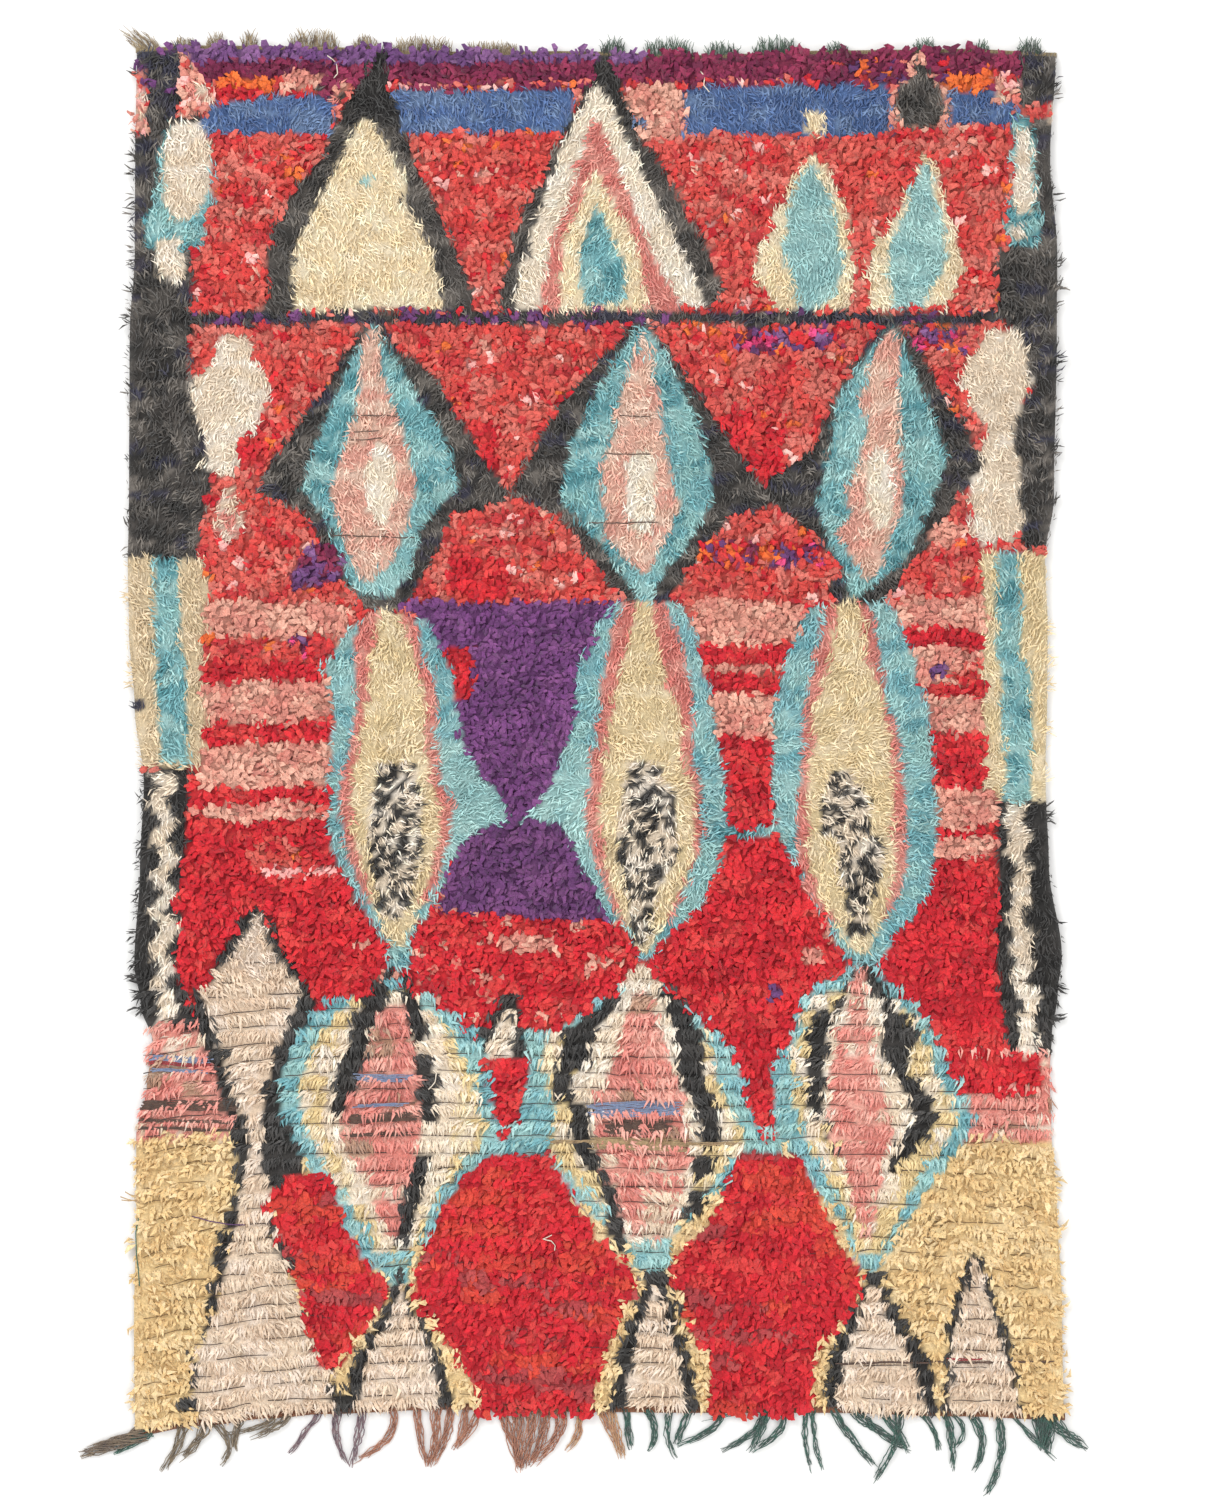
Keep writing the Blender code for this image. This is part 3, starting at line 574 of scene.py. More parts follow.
        (151.4, -60.7, -58.6), (154.4, -63.5, -56.8), (158, -65.3, -55.1), (161.5, -67.4, -52.6),
        (165, -68.5, -51.5), (166.8, -72, -49.4), (173, -70.6, -49.8), (178.1, -68.5, -52.2),
        (185.3, -66.4, -52.2), (189.4, -65, -50.1), (199.4, -63.2, -52.2), (201.2, -63.2, -52.6),
    )),
    Motif("white lozenge foot outline", "broken_black", (
        (201.2, -63.2, -52.6), (210.6, -67.1, -55.1), (217.3, -67.8, -51.9), (225.9, -70.2, -49.4),
        (230.3, -71.7, -47.3), (241.8, -73.1, -44.1),
    )),
    Motif("white lozenge", "ivory_pink", (
        (152.1, -60, -59.1), (155.3, -61.6, -58.2), (158, -63.2, -57.2), (162.7, -66.7, -54),
        (166.8, -69.9, -51.9), (175.8, -66.7, -55.8), (178.1, -65.8, -56.8), (184.8, -64.2, -59),
        (190.8, -61.8, -59), (197.9, -61.6, -59), (210.6, -64.6, -57.5), (217.3, -65.7, -53.7),
        (223.6, -67.4, -52.2), (228.6, -69.2, -49.8), (233.5, -70.6, -47.7), (245.3, -70.2, -45.2),
    )),
    Motif("worn lozenge 1", "soft_turquoise", (
        (164.9, -37.1, -34.2), (169.1, -48.4, -27.5), (173.7, -52.2, -22.2), (174.9, -52.8, -19.8),
        (181.4, -56, -19.4), (186, -56, -18.4), (190.6, -54.9, -16.9), (194.1, -52.6, -16.9),
        (199.3, -49.9, -22.6), (205.1, -45.9, -27.5), (214.1, -40.6, -31.9), (218.9, -35.7, -34.2),
    )),
    Motif("worn lozenge 2", "soft_turquoise", (
        (163.8, 7.4, 9.9), (169.1, -1.4, 16.6), (173, -6.4, 20.5), (174, -13.1, 21.2), (177.9, -11.8, 24.7),
        (182.1, -11.8, 25.8), (182.7, -12.9, 26.3), (186, -13.2, 27.2), (190.3, -13.9, 28.9),
        (192.7, -15.2, 30), (195.9, -11.6, 28.2), (203, -3.7, 20.8), (210, 3.9, 13.4), (217.4, 8.1, 12),
    )),
    Motif("worn lozenge 3", "soft_turquoise", (
        (161.7, 44.8, 49.1), (165, 39.5, 52.6), (170.3, 35.3, 58.2), (176.5, 34.1, 61.4), (177.6, 30.9, 61.8),
        (180.9, 30.9, 63.5), (185.3, 31.9, 65.1), (189.4, 31.9, 66.7), (192.4, 32.1, 65.3),
        (194.3, 34.2, 64.1), (200.2, 38.7, 59.5), (206.9, 43.1, 55.4), (212.3, 45.7, 52.2), (217.1, 46.9, 48),
    )),
    Motif("worn link west", "soft_turquoise", (
        (190.6, -18, -9.9), (192.7, -19.2, -9.9), (195.6, -19.2, -10.2),
    )),
    Motif("worn link east", "soft_turquoise", ((192, 24.7, 33.5), (195.6, 24.7, 33.4))),
    Motif("neck 1 tip", "red", ((190.3, -17.8, -14.1), (191.1, -17.1, -15.9), (193.1, -16.9, -15.9))),
    Motif("worn lozenge 1 cream", "cream_ivory", (
        (165.9, -37.8, -34.2), (169.8, -45.5, -29.3), (174.7, -49.4, -25.4), (182.5, -52.6, -21.5),
        (190.6, -51.5, -19.8), (194.1, -49.8, -20.8), (199.3, -46.9, -24.7), (205.1, -43.4, -29.3),
        (213.9, -38.1, -32.8),
    )),
    Motif("worn lozenge 2 cream", "cream_ivory", (
        (165.9, 7.1, 9.9), (170.3, -0.4, 15.2), (173.7, -6.4, 18.4), (174.4, -9.4, 19.1), (178.1, -9.5, 20.8),
        (181.8, -9.2, 21.5), (185.3, -7.8, 22.6), (188, -7.6, 24.5), (193.6, -8.5, 26.3), (195.9, -8.1, 24.7),
        (203, -0.7, 18.4), (211.1, 5.3, 11.6),
    )),
    Motif("worn lozenge 3 cream", "cream_ivory", (
        (165.9, 41.1, 51.2), (171.2, 36.7, 56.1), (178.1, 34.9, 59), (185.3, 34.9, 62.5), (189.4, 36, 63.9),
        (194.3, 37.8, 61.1), (200.2, 41.3, 56.8), (206.9, 44.5, 53.3), (212.9, 46.2, 50.1),
    )),
    Motif("worn lozenge 1 white", "ivory", (
        (167.7, -39.2, -31.4), (173.7, -44.8, -27.5), (178.3, -46.2, -25.8), (182.5, -48, -25.1),
        (190.6, -48.4, -25.1), (195, -45.5, -26.1), (199.4, -43.1, -27.5), (205.1, -40.9, -30.4),
        (211.8, -37.8, -32.8),
    )),
    Motif("worn lozenge 1 black west", "black", (
        (161.7, -36.7, -35.7), (164.7, -38.5, -36.4), (167.3, -40.6, -36.4), (171.4, -42.7, -38.5),
        (176.1, -43.8, -40.4), (182.3, -46.1, -41.8), (187.8, -46.9, -43.4), (188.7, -46.2, -44.1),
    )),
    Motif("worn lozenge 1 black east", "black", (
        (163.1, -34.2, -32.8), (169.4, -33.7, -31.1), (171.9, -33.5, -29.8), (176, -32.5, -30.4),
    )),
    Motif("worn lozenge 1 black side", "black", (
        (178.3, -32.8, -28.6), (183, -31.6, -28.2), (190.1, -31.6, -28.2),
    )),
    Motif("worn lozenge 1 black foot", "black", (
        (195.4, -32.7, -28.6), (199.4, -33.9, -29.8), (205.4, -34.9, -31.6), (211.1, -35.7, -33.2),
    )),
    Motif("worn lozenge 3 black", "black", (
        (161.7, 46.2, 48.7), (165, 44.8, 50.8), (167.7, 43.4, 52.4), (170.3, 40.6, 52.9), (173.1, 37.1, 56.7),
        (175.6, 36.7, 57), (178.3, 36.7, 55.1), (180.9, 37.4, 55.1), (184.4, 37.1, 58.6), (187.1, 37.4, 60),
        (189.9, 39.2, 59.7), (193.3, 41.3, 57.4), (196.3, 43.4, 55.4), (198.7, 44.5, 52.9),
    )),
    Motif("worn lozenge 2 ivory", "ivory", (
        (161.7, 6.4, 10.6), (167.3, 3.9, 12), (170.5, 1.8, 14.1), (173.7, -1.4, 16.6), (180, -1.4, 16.6),
        (181.1, -4.9, 17.3), (186, -4.6, 18.4), (193.1, -1.9, 19.4), (196.6, -0.7, 18.4), (201.2, 2.5, 17.3),
        (205.1, 3.9, 16.6), (211.8, 5.3, 11.6),
    )),
    Motif("worn lozenge 2 black west", "black", (
        (167.7, 1.8, 3.9), (170.5, -1.1, 2.8), (173.5, -6, -0.7), (180, -6, -0.7), (180.7, -7.9, -4.4),
        (185.3, -7.9, -4.4), (186.4, -4.9, -1.4), (193.1, -4.4, -1.2), (196.6, -2.5, 1.1), (200.9, 0.5, 3.7),
        (204.4, 1.9, 4.6), (212.5, 2.6, 4.6),
    )),
    Motif("worn lozenge 2 black east", "black", (
        (166.3, 10.6, 14.1), (169.8, 12.5, 16.9), (176.9, 13.9, 18.9), (183.9, 15.2, 19.6), (185.3, 16.6, 21),
        (189.2, 18, 21.7), (194.7, 18.9, 22.1),
    )),
    Motif("worn lozenge 2 black side", "black", ((195.9, 16.6, 20.8), (199.8, 16.8, 20.8))),
    Motif("worn lozenge 2 black foot", "black", ((201.2, 16.6, 19.9), (206.2, 16.2, 19.4))),
    Motif("worn lozenge 3 ivory", "ivory", (
        (164.9, 45.2, 48), (167.7, 44.1, 50.1), (170.3, 43.4, 50.5), (173.1, 41.3, 50.7), (177.9, 40.6, 50.5),
        (181.8, 40.2, 53.3), (186.2, 39.9, 56), (189.9, 39.2, 56.1), (193.3, 42.4, 53.3), (196.8, 44.1, 52.2),
        (199.8, 45.2, 51.2), (209.3, 46.2, 49.4),
    )),
    Motif("worn lozenge 1 pink", "worn_pink", (
        (168.7, -37.1, -33.7), (174.2, -39, -33.2), (177.6, -40.8, -32.3), (183, -42.2, -31.4),
        (187.1, -43.9, -31.4), (190.4, -45.2, -30.7), (194.5, -44.5, -31.6), (198.6, -40.6, -33.2),
        (202.6, -39.2, -33.7), (206.7, -38.1, -34.4), (210.4, -36.9, -35.1),
    )),
    Motif("worn lozenge 2 pink", "worn_pink", (
        (166.6, 6.4, 8.8), (174.7, 3.9, 11.6), (180.4, 2.5, 13.1), (185.3, 0.2, 15.5), (192.4, -0.2, 16.2),
        (197.3, 0.7, 15.9), (202.3, 3.5, 15.2), (207.2, 4.9, 14.1), (211.1, 7.4, 10.9),
    )),
    Motif("worn lozenge 3 pink", "rose_mix", (
        (161.7, 46.1, 47.1), (170.1, 44.1, 48), (175.6, 42.7, 48.7), (182.7, 41.3, 50.5), (188, 40.9, 52.2),
        (192.4, 41.3, 52.2), (195.9, 43.1, 50.8), (201.2, 44.8, 50.1), (205.6, 45.9, 49.4), (211.1, 46.9, 48),
    )),
    Motif("red wedge", "red_streaks", (
        (199.1, -55.1, -46.9), (203.9, -58.6, -45.5), (208.8, -56.5, -44.1), (214.1, -54.4, -40.6),
        (219.6, -52.4, -36.5), (223.4, -51.7, -38.8), (227.7, -50.7, -42), (233.2, -48.4, -45.7),
    )),
    Motif("red arch 1", "red_streaks", (
        (194.9, -18.7, -10.2), (197, -21.2, -7.8), (199.8, -23.7, -5.6), (204.7, -27.2, -2.8),
        (210, -29.8, 0), (216.4, -31.8, 7.4), (219.2, -32.3, 6.4), (223.1, -30, 4.9), (227.2, -27.5, 3),
        (232.6, -22.9, 1.2), (237, -21.2, -0.4), (243.6, -20.5, -1.1),
    )),
    Motif("red arch 2", "red_streaks", (
        (194.9, 25.1, 35.7), (199.4, 23.3, 38.1), (204.7, 22.2, 40.2), (210.6, 16.9, 43.1), (215, 12.7, 46.2),
        (216.9, 13.1, 47.3), (223.6, 15.2, 44.8), (230.3, 19.4, 39.2), (232.6, 21, 38.7), (243.6, 20.1, 38.3),
    )),
    Motif("near gable 1 black", "black", (
        (217.3, -35.1, -34.1), (222.4, -37.1, -32.1), (228.6, -40.4, -28.8), (233.9, -43.6, -26.3),
        (243.6, -45.5, -24.4),
    )),
    Motif("near gable 2 black", "black", (
        (216.7, 8.1, 12.7), (219.2, 8.1, 13.1), (224.2, 6.4, 13.8), (231.2, 3.7, 16.4), (243.6, 1.8, 19.1),
    )),
    Motif("near gable 3 black", "black", (
        (216.2, 48.2, 49.6), (220.6, 46.4, 51.9), (227.7, 43.1, 56.1), (233, 41.3, 59.5), (243.6, 40.2, 60.4),
    )),
    Motif("near gable 4 black", "black", (
        (212.5, 66.5, 67.6), (218.9, 63.9, 69.9), (225.9, 62.3, 72.5), (243.6, 61.2, 75.9),
    )),
    Motif("near gable 1", "ivory_pink", (
        (218.9, -34.9, -34.4), (224.2, -36.7, -32.5), (231.2, -39.9, -29.3), (243.6, -43.4, -26.7),
    )),
    Motif("near gable 2", "ivory_pink", (
        (219.6, 9.7, 10.6), (225.9, 7.9, 12.5), (233, 6, 14.8), (243.6, 4.2, 16.9),
    )),
    Motif("near gable 3", "ivory_pink", (
        (218.2, 48.4, 49.1), (224.2, 46.6, 51.5), (228.6, 45.2, 54), (233.5, 43.6, 56.1), (243.6, 42.4, 59.7),
    )),
    Motif("near gable 4", "ivory_pink", (
        (213.9, 66.9, 67.4), (220.6, 64.8, 69.4), (229.4, 63.2, 72), (243.6, 61.8, 75.5),
    )),
)

# A pile family: strands in each square metre, reach in the plush and where it is worn, spread of the reach
# and of the width, how far strands roll and turn, how far they stray from their row where it is worn, and how
# far up the row they root there
Pile = namedtuple("Pile", "density shape plush_reach worn_reach spread width_spread roll turn stray uphill")
YARN = Pile(27000, "yarn", 0.0175, 0.0235, 0.20, 0.22, 0.6, 0.80, 0.12, 0.34)
RAG = Pile(21500, "rag", 0.0168, 0.0172, 0.30, 0.40, 0.5, 1.10, 0.42, 0)
ROVING = Pile(17500, "roving", 0.0190, 0.0205, 0.28, 0.30, 0.6, 1.30, 0.30, 0.26)
PILES = {"pile": YARN, "rag": RAG, "roving": ROVING}

# A strand's rings from root to tip: along its reach, height over its root, sideways, width, thickness. Each
# strand starts at its root point and has a middle ring and a tip ring.
Ring = namedtuple("Ring", "along height sideways width thickness")
ROOT = Ring(0, 0, 0, 0, 0)
SHAPES = {
    "yarn": (
        ((0.42, 0.34, 0.03, 0.19, 0.15), (1, 0.40, -0.10, 0.15, 0.10)),
        ((0.38, 0.38, -0.05, 0.19, 0.15), (0.92, 0.50, 0.12, 0.14, 0.10)),
        ((0.46, 0.30, 0.05, 0.19, 0.15), (1.05, 0.28, 0.06, 0.15, 0.10)),
    ),
    "yarn_worn": (
        ((0.40, 0.34, 0.03, 0.21, 0.17), (1, 0.14, -0.08, 0.15, 0.10)),
        ((0.36, 0.38, -0.05, 0.21, 0.17), (0.95, 0.22, 0.12, 0.14, 0.10)),
        ((0.45, 0.29, 0.05, 0.20, 0.17), (1.05, 0.08, 0.05, 0.15, 0.10)),
    ),
    "roving": (
        ((0.42, 0.36, 0.04, 0.30, 0.20), (1, 0.36, -0.12, 0.20, 0.14)),
        ((0.38, 0.40, -0.06, 0.28, 0.20), (0.90, 0.46, 0.14, 0.18, 0.14)),
        ((0.48, 0.32, 0.06, 0.32, 0.20), (1.04, 0.24, 0.06, 0.22, 0.14)),
    ),
    "roving_worn": (
        ((0.46, 0.40, 0.05, 0.40, 0.26), (0.98, 0.20, -0.14, 0.24, 0.16)),
        ((0.40, 0.44, -0.08, 0.36, 0.26), (0.86, 0.30, 0.18, 0.22, 0.16)),
        ((0.52, 0.36, 0.07, 0.42, 0.26), (1.00, 0.14, 0.06, 0.26, 0.16)),
    ),
    "rag": (
        ((0.50, 0.38, 0.06, 0.68, 0.16), (1, 0.40, -0.16, 0.42, 0.07)),
        ((0.44, 0.46, -0.10, 0.60, 0.18), (0.90, 0.60, 0.20, 0.34, 0.07)),
        ((0.58, 0.34, 0.08, 0.74, 0.15), (1.04, 0.20, 0.02, 0.46, 0.07)),
    ),
    "rag_worn": (
        ((0.50, 0.34, 0.06, 0.64, 0.16), (0.98, 0.30, -0.14, 0.40, 0.07)),
        ((0.44, 0.42, -0.08, 0.58, 0.18), (0.90, 0.46, 0.18, 0.32, 0.07)),
        ((0.57, 0.30, 0.08, 0.70, 0.15), (1.02, 0.16, 0.02, 0.44, 0.07)),
    ),
}


def linear(tone):
    """A colour from 0 to 255 as the linear values that a shader takes."""
    share = np.asarray(tone, dtype=float) / 255
    return np.where(share <= 0.04045, share / 12.92, ((share + 0.055) / 1.055) ** 2.4)


def shader_colour(tone):
    return (*linear(tone), 1)


def eased(share):
    """A share that leaves 0 and reaches 1 softly."""
    share = np.clip(share, 0, 1)
    return share * share * (3 - 2 * share)


def read_table(table, column, at):
    """A column of a table, read at any places by easing from row to row. The first column has the places."""
    places = np.array([row[0] for row in table])
    values = np.array([getattr(row, column) for row in table])
    after = np.clip(np.searchsorted(places, at), 1, len(places) - 1)
    share = eased((at - places[after - 1]) / (places[after] - places[after - 1]))
    return values[after - 1] + (values[after] - values[after - 1]) * share


def drift(x, y, size, seed):
    """Smooth noise between -1 and 1 whose patches are size metres wide. size may be (across, along). Each use
    has a seed of its own."""
    across, along = size if isinstance(size, tuple) else (size, size)
    values = np.random.default_rng(seed).uniform(-1, 1, (64, 64))
    u = (x + 2) / across
    v = (y + 2) / along
    column, row = np.floor(u).astype(int), np.floor(v).astype(int)
    right, up = eased(u - column), eased(v - row)
    west, east, near, far = column % 64, (column + 1) % 64, row % 64, (row + 1) % 64
    near_value = values[near, west] * (1 - right) + values[near, east] * right
    far_value = values[far, west] * (1 - right) + values[far, east] * right
    return near_value * (1 - up) + far_value * up


def patches(x, y, across, along, seed):
    """A number from 0 to 1 for each place, the same all over an uneven patch about across by along metres."""
    column = (x + 2) / across + 0.5 * drift(x, y, 0.8 * across, seed + 1)
    row = (y + 2) / along + 0.5 * drift(x, y, 0.8 * along, seed + 2)
    row = np.floor(row).astype(int)
    column = np.floor(column + 0.5 * (row % 2)).astype(int)
    return np.random.default_rng(seed).uniform(0, 1, (256, 256))[row % 256, column % 256]


def worn_share(y):
    """0 in the plush far part and 1 in the worn near part."""
    return eased((WORN_BELOW + WORN_BLEND - y) / WORN_BLEND)


DYE_NAMES = list(DYES)


def dyes_at(x, y):
    """The pattern's dye at each place, as a number in DYE_NAMES."""
    down = (FAR_END - y) * 100
    across = x * 100
    found = np.zeros(len(x), dtype=int)
    for motif in PATTERN:
        stations = np.array(motif.stations)
        west = np.interp(down, stations[:, 0], stations[:, 1])
        east = np.interp(down, stations[:, 0], stations[:, 2])
        inside = (down >= stations[0, 0]) & (down < stations[-1, 0]) & (across >= west) & (across < east)
        found[inside] = DYE_NAMES.index(motif.dye)
    return found


def unmixed(found, x, y):
    """The dyes with each mix settled into one of its own, patch by patch."""
    settled = found.copy()
    for number, name in enumerate(DYE_NAMES):
        here = found == number
        if isinstance(DYES[name], Mix) and here.any():
            mix = DYES[name]
            choices = np.array([DYE_NAMES.index(dye) for dye in mix.dyes])
            chosen = patches(x[here], y[here], mix.width, mix.length, 60 + number) * len(choices)
            settled[here] = choices[chosen.astype(int)]
    return settled


def tone_at(x, y, chance):
    """Which of a dye's tones each place has, from 0 to 1: broad patches, with smaller ones strewn in."""
    broad = patches(x, y, 0.042, 0.020, 43)
    small = patches(x, y, 0.014, 0.011, 48)
    return np.where(chance < 0.14, small, broad)


def lean_at(x, y):
    """Which way the pile lies: to the far end in the far half, to the fringe in the worn part, outward at the
    rim. Gives the heading and, from 0 to 1, how far the rim cuts the pile short: less at a tooth."""
    turn_over = eased((0.22 - y) / 0.62)
    along = 1 - 2 * turn_over + 0.45 * drift(x, y, 0.13, 21)
    across = 0.75 * drift(x, y, 0.17, 22) + 0.45 * drift(x, y, 0.06, 23)
    west, east = read_table(SIDES, "west", y), read_table(SIDES, "east", y)
    to_rim = (x - (east - west) / 2) / ((east + west) / 2)
    at_rim = eased((np.abs(to_rim) - 0.975) / 0.02)
    tooth = eased(1.8 * drift(x, y, (0.2, 0.020), 54))
    across += np.sign(to_rim) * (0.2 + 1.6 * tooth) * at_rim
    return np.arctan2(along, across), at_rim * (1 - tooth)


def row_sag(x, y):
    """How far the worn rows wander along the rug."""
    return 0.0042 * drift(x, y, (0.12, 0.03), 31) + 0.0016 * drift(x, y, (0.03, 0.02), 36)


def row_span(x):
    """Where the rows of knots start and end along the rug."""
    return read_table(ENDS, "near", x) - NEAR_OVERHANG, read_table(ENDS, "far", x)


def bed_height(x, y):
    """How high the dense bases of the knots stand: where the pile is worn, low and furrowed between rows."""
    worn = worn_share(y)
    near, far = row_span(x)
    sag = row_sag(x, y)
    phase = ((y - sag - near) / (far - near) * ROWS) % 1
    furrow = np.cos(2 * math.pi * phase) * 0.5 + 0.5
    plush = 0.0140 + 0.0022 * drift(x, y, 0.05, 52) + 0.0014 * drift(x, y, 0.016, 53)
    thin = 0.0088 - 0.0022 * furrow + 0.0008 * drift(x, y, 0.016, 53)
    return plush + (thin - plush) * worn


def scatter(pile, chance):
    """Root places of a family over the whole rug, row by row, with the row and knot that each belongs to."""
    in_row = round(pile.density * FIELD_WIDTH * FIELD_LENGTH / ROWS)
    row = np.repeat(np.arange(ROWS), in_row)
    across_share = (np.tile(np.arange(in_row), ROWS) + chance.uniform(0, 1, len(row))) / in_row
    y = (row + 0.5) / ROWS * 2 - 1
    west = -read_table(SIDES, "west", y * HALF_LENGTH)
    x = west + across_share * (read_table(SIDES, "east", y * HALF_LENGTH) - west)
    near, far = row_span(x)
    row_y = near + (far - near) * (y + 1) / 2
    pitch = (far - near) / ROWS
    worn = worn_share(row_y)
    spread = 0.5 + (pile.stray - 0.5) * worn
    root_y = row_y + pitch * (spread * chance.uniform(-1, 1, len(row)) + pile.uphill * worn)
    sag = row_sag(x, row_y) * worn
    knot = np.floor((x + 1) / KNOT_WIDTH).astype(int)
    return x, root_y + sag, row_y, row, knot


def grow(pile, seed):
    """Every strand of a family as columns: place, turn, size, shape, dye and tone."""
    chance = np.random.default_rng(seed)
    x, y, row_y, row, knot = scatter(pile, chance)
    count = len(x)
    # Four draws for each knot: its turn, its reach, one that is spare, and its light
    by_knot = chance.uniform(0, 1, (ROWS, 512, 4))[row, knot]
    worn = worn_share(y)
    heading, at_rim = lean_at(x, y)
    heading += pile.turn * (1 - 0.35 * worn) * (2 * by_knot[:, 0] - 1 + chance.uniform(-0.8, 0.8, count))
    reach = pile.plush_reach + (pile.worn_reach - pile.plush_reach) * worn
    reach = reach * (1 + pile.spread * chance.uniform(-1, 1, count)) * (1 + 0.10 * drift(x, y, 0.07, 41))
    reach = reach * (1 - 0.5 * at_rim) * (1 + 0.36 * worn * (by_knot[:, 1] - 0.5))
    # A strand takes its dye from the pattern about where it shows most, drawn to its knot's and row's place
    seen_x = x + SEEN_SHARE * reach * np.cos(heading)
    seen_y = y + SEEN_SHARE * reach * np.sin(heading)
    knot_x = (knot + 0.5) * KNOT_WIDTH - 1
    look_x = 0.65 * seen_x + 0.35 * (knot_x + SEEN_SHARE * reach * np.cos(heading))
    look_y = np.where(worn > 0.5, 0.35 * seen_y + 0.65 * (row_y - SEEN_SHARE * reach), seen_y)
    wobble_x = 0.005 * drift(x, y, 0.045, 42) + 0.013 * (patches(x, y, 0.080, 0.0145, 45) - 0.5)
    wobble_y = 0.005 * drift(x, y, 0.045, 46) + 0.008 * (patches(x, y, 0.0145, 0.080, 47) - 0.5)
    found = dyes_at(look_x + wobble_x, look_y + wobble_y)
    near_x = look_x + 0.002 * chance.normal(0, 1, count)
    near_y = look_y + 0.002 * chance.normal(0, 1, count)
    dye = unmixed(found, near_x, near_y)
    lump = 1 + 0.16 * drift(x, y, 0.06, 44)
    rise = reach * lump * (1 + 0.18 * chance.uniform(-1, 1, count))
    width = reach * (1 + pile.width_spread * chance.uniform(-1, 1, count))
    pitch = chance.uniform(-0.14, 0.14, count)
    roll = pile.roll * chance.uniform(-1, 1, count)
    shape = chance.integers(0, 3, count) + 3 * (worn > chance.uniform(0.3, 0.7, count))
    tone = tone_at(near_x, near_y, chance.uniform(0, 1, count))
    light = 1.03 + 0.07 * chance.normal(0, 1, count).clip(-2, 2)
    light = light + (0.22 - 0.10 * worn) * (by_knot[:, 3] - 0.5)
    return {
        "place": np.column_stack((x + CENTRE.x, y + CENTRE.y, bed_height(x, y) - 0.001)),
        "turn": np.column_stack((pitch, roll, heading - math.pi / 2)),
        "size": np.column_stack((width, reach, rise)),
        "shape": shape,
        "dye": dye,
        "tone": tone,
        "light": light,
    }


def strand_colours(strands):
    """Each strand's own colour, from its dye's tones times its light, which for the knot bases is painted
    shade.
    """
    colours = np.ones((len(strands["dye"]), 4))
    for number, name in enumerate(DYE_NAMES):
        here = strands["dye"] == number
        if isinstance(DYES[name], Mix) or not here.any():
            continue
        tones = np.array([linear(tone) for tone in DYES[name].tones])
        pick = (strands["tone"][here] * len(tones)).astype(int) % len(tones)
        colours[here, :3] = tones[pick] * strands["light"][here, None]
    return colours.clip(0, 1)


def template(name, rings, is_flat, folder):
    """One strand, three-sided, from a point at its root to a chisel tip one unit along Y. A flat one has its
    wide side up."""
    mesh = bmesh.new()
    upright = Matrix.Translation((0, 0, 1))
    bmesh.ops.create_cone(mesh, cap_ends=True, segments=3, radius1=0, radius2=1, depth=2, matrix=upright)
    long_edges = [edge for edge in mesh.edges if abs(edge.verts[0].co.z - edge.verts[1].co.z) > 1]
    bmesh.ops.subdivide_edges(mesh, edges=long_edges, cuts=1)
    skin = mesh.loops.layers.uv.new("OFBake")
    for face in mesh.faces:
        middle = face.calc_center_median()
        is_cap = abs(face.normal.z) > 0.9
        strip = math.floor(math.atan2(middle.y, middle.x) / (2 * math.pi / 3) + 0.5) % 3
        for loop in face.loops:
            spot = loop.vert.co
            around = math.atan2(spot.y, spot.x) if spot.xy.length > 0.01 else math.atan2(middle.y, middle.x)
            side = math.sin(around - math.atan2(middle.y, middle.x))
            u = (strip + 0.5 + 0.45 * np.clip(side, -1, 1)) / 3
            v = 0.06 + 0.45 * spot.z
            loop[skin].uv = (0.5 + 0.02 * spot.x, 0.02 + 0.02 * spot.y) if is_cap else (u, v)
    for vertex in mesh.verts:
        ring = rings[round(vertex.co.z)]
        corner = Vector((vertex.co.x, vertex.co.y))
        corner = corner.normalized() if corner.length > 0.01 else corner
        up = -corner.x if is_flat else corner.x
        side = ring.sideways + corner.y * ring.width / 2
        vertex.co = Vector((side, ring.along, ring.height + up * ring.thickness / 2))
    tip = sorted((vertex for vertex in mesh.verts if vertex.co.y > 0.8), key=lambda vertex: vertex.co.z)
    bmesh.ops.pointmerge(mesh, verts=tip[:2], merge_co=tip[1].co if is_flat else tip[0].co)
    bmesh.ops.recalc_face_normals(mesh, faces=mesh.faces)
    data = bpy.data.meshes.new(name)
    mesh.to_mesh(data)
    mesh.free()
    folder.objects.link(bpy.data.objects.new(name, data))


def template_folder(shape):
    """The family's six strands, plush then worn, as a collection that is only instanced."""
    folder = bpy.data.collections.new("strands_" + shape)
    for middle, tip in SHAPES[shape] + SHAPES[shape + "_worn"]:
        rings = (ROOT, Ring(*middle), Ring(*tip))
        template(f"{shape}_{len(folder.objects)}", rings, shape == "rag", folder)
    return folder


def add_node(tree, kind, values=None, **settings):
    """A new node with its settings and the values of its inputs."""
    node = tree.nodes.new(kind)
    for setting, value in settings.items():
        setattr(node, setting, value)
    for socket, value in (values or {}).items():
        node.inputs[socket].default_value = value
    return node


def join(tree, *pairs):
    """Links between nodes, each written (from node, output, to node, input)."""
    for source, output, target, socket in pairs:
        tree.links.new(source.outputs[output], target.inputs[socket])


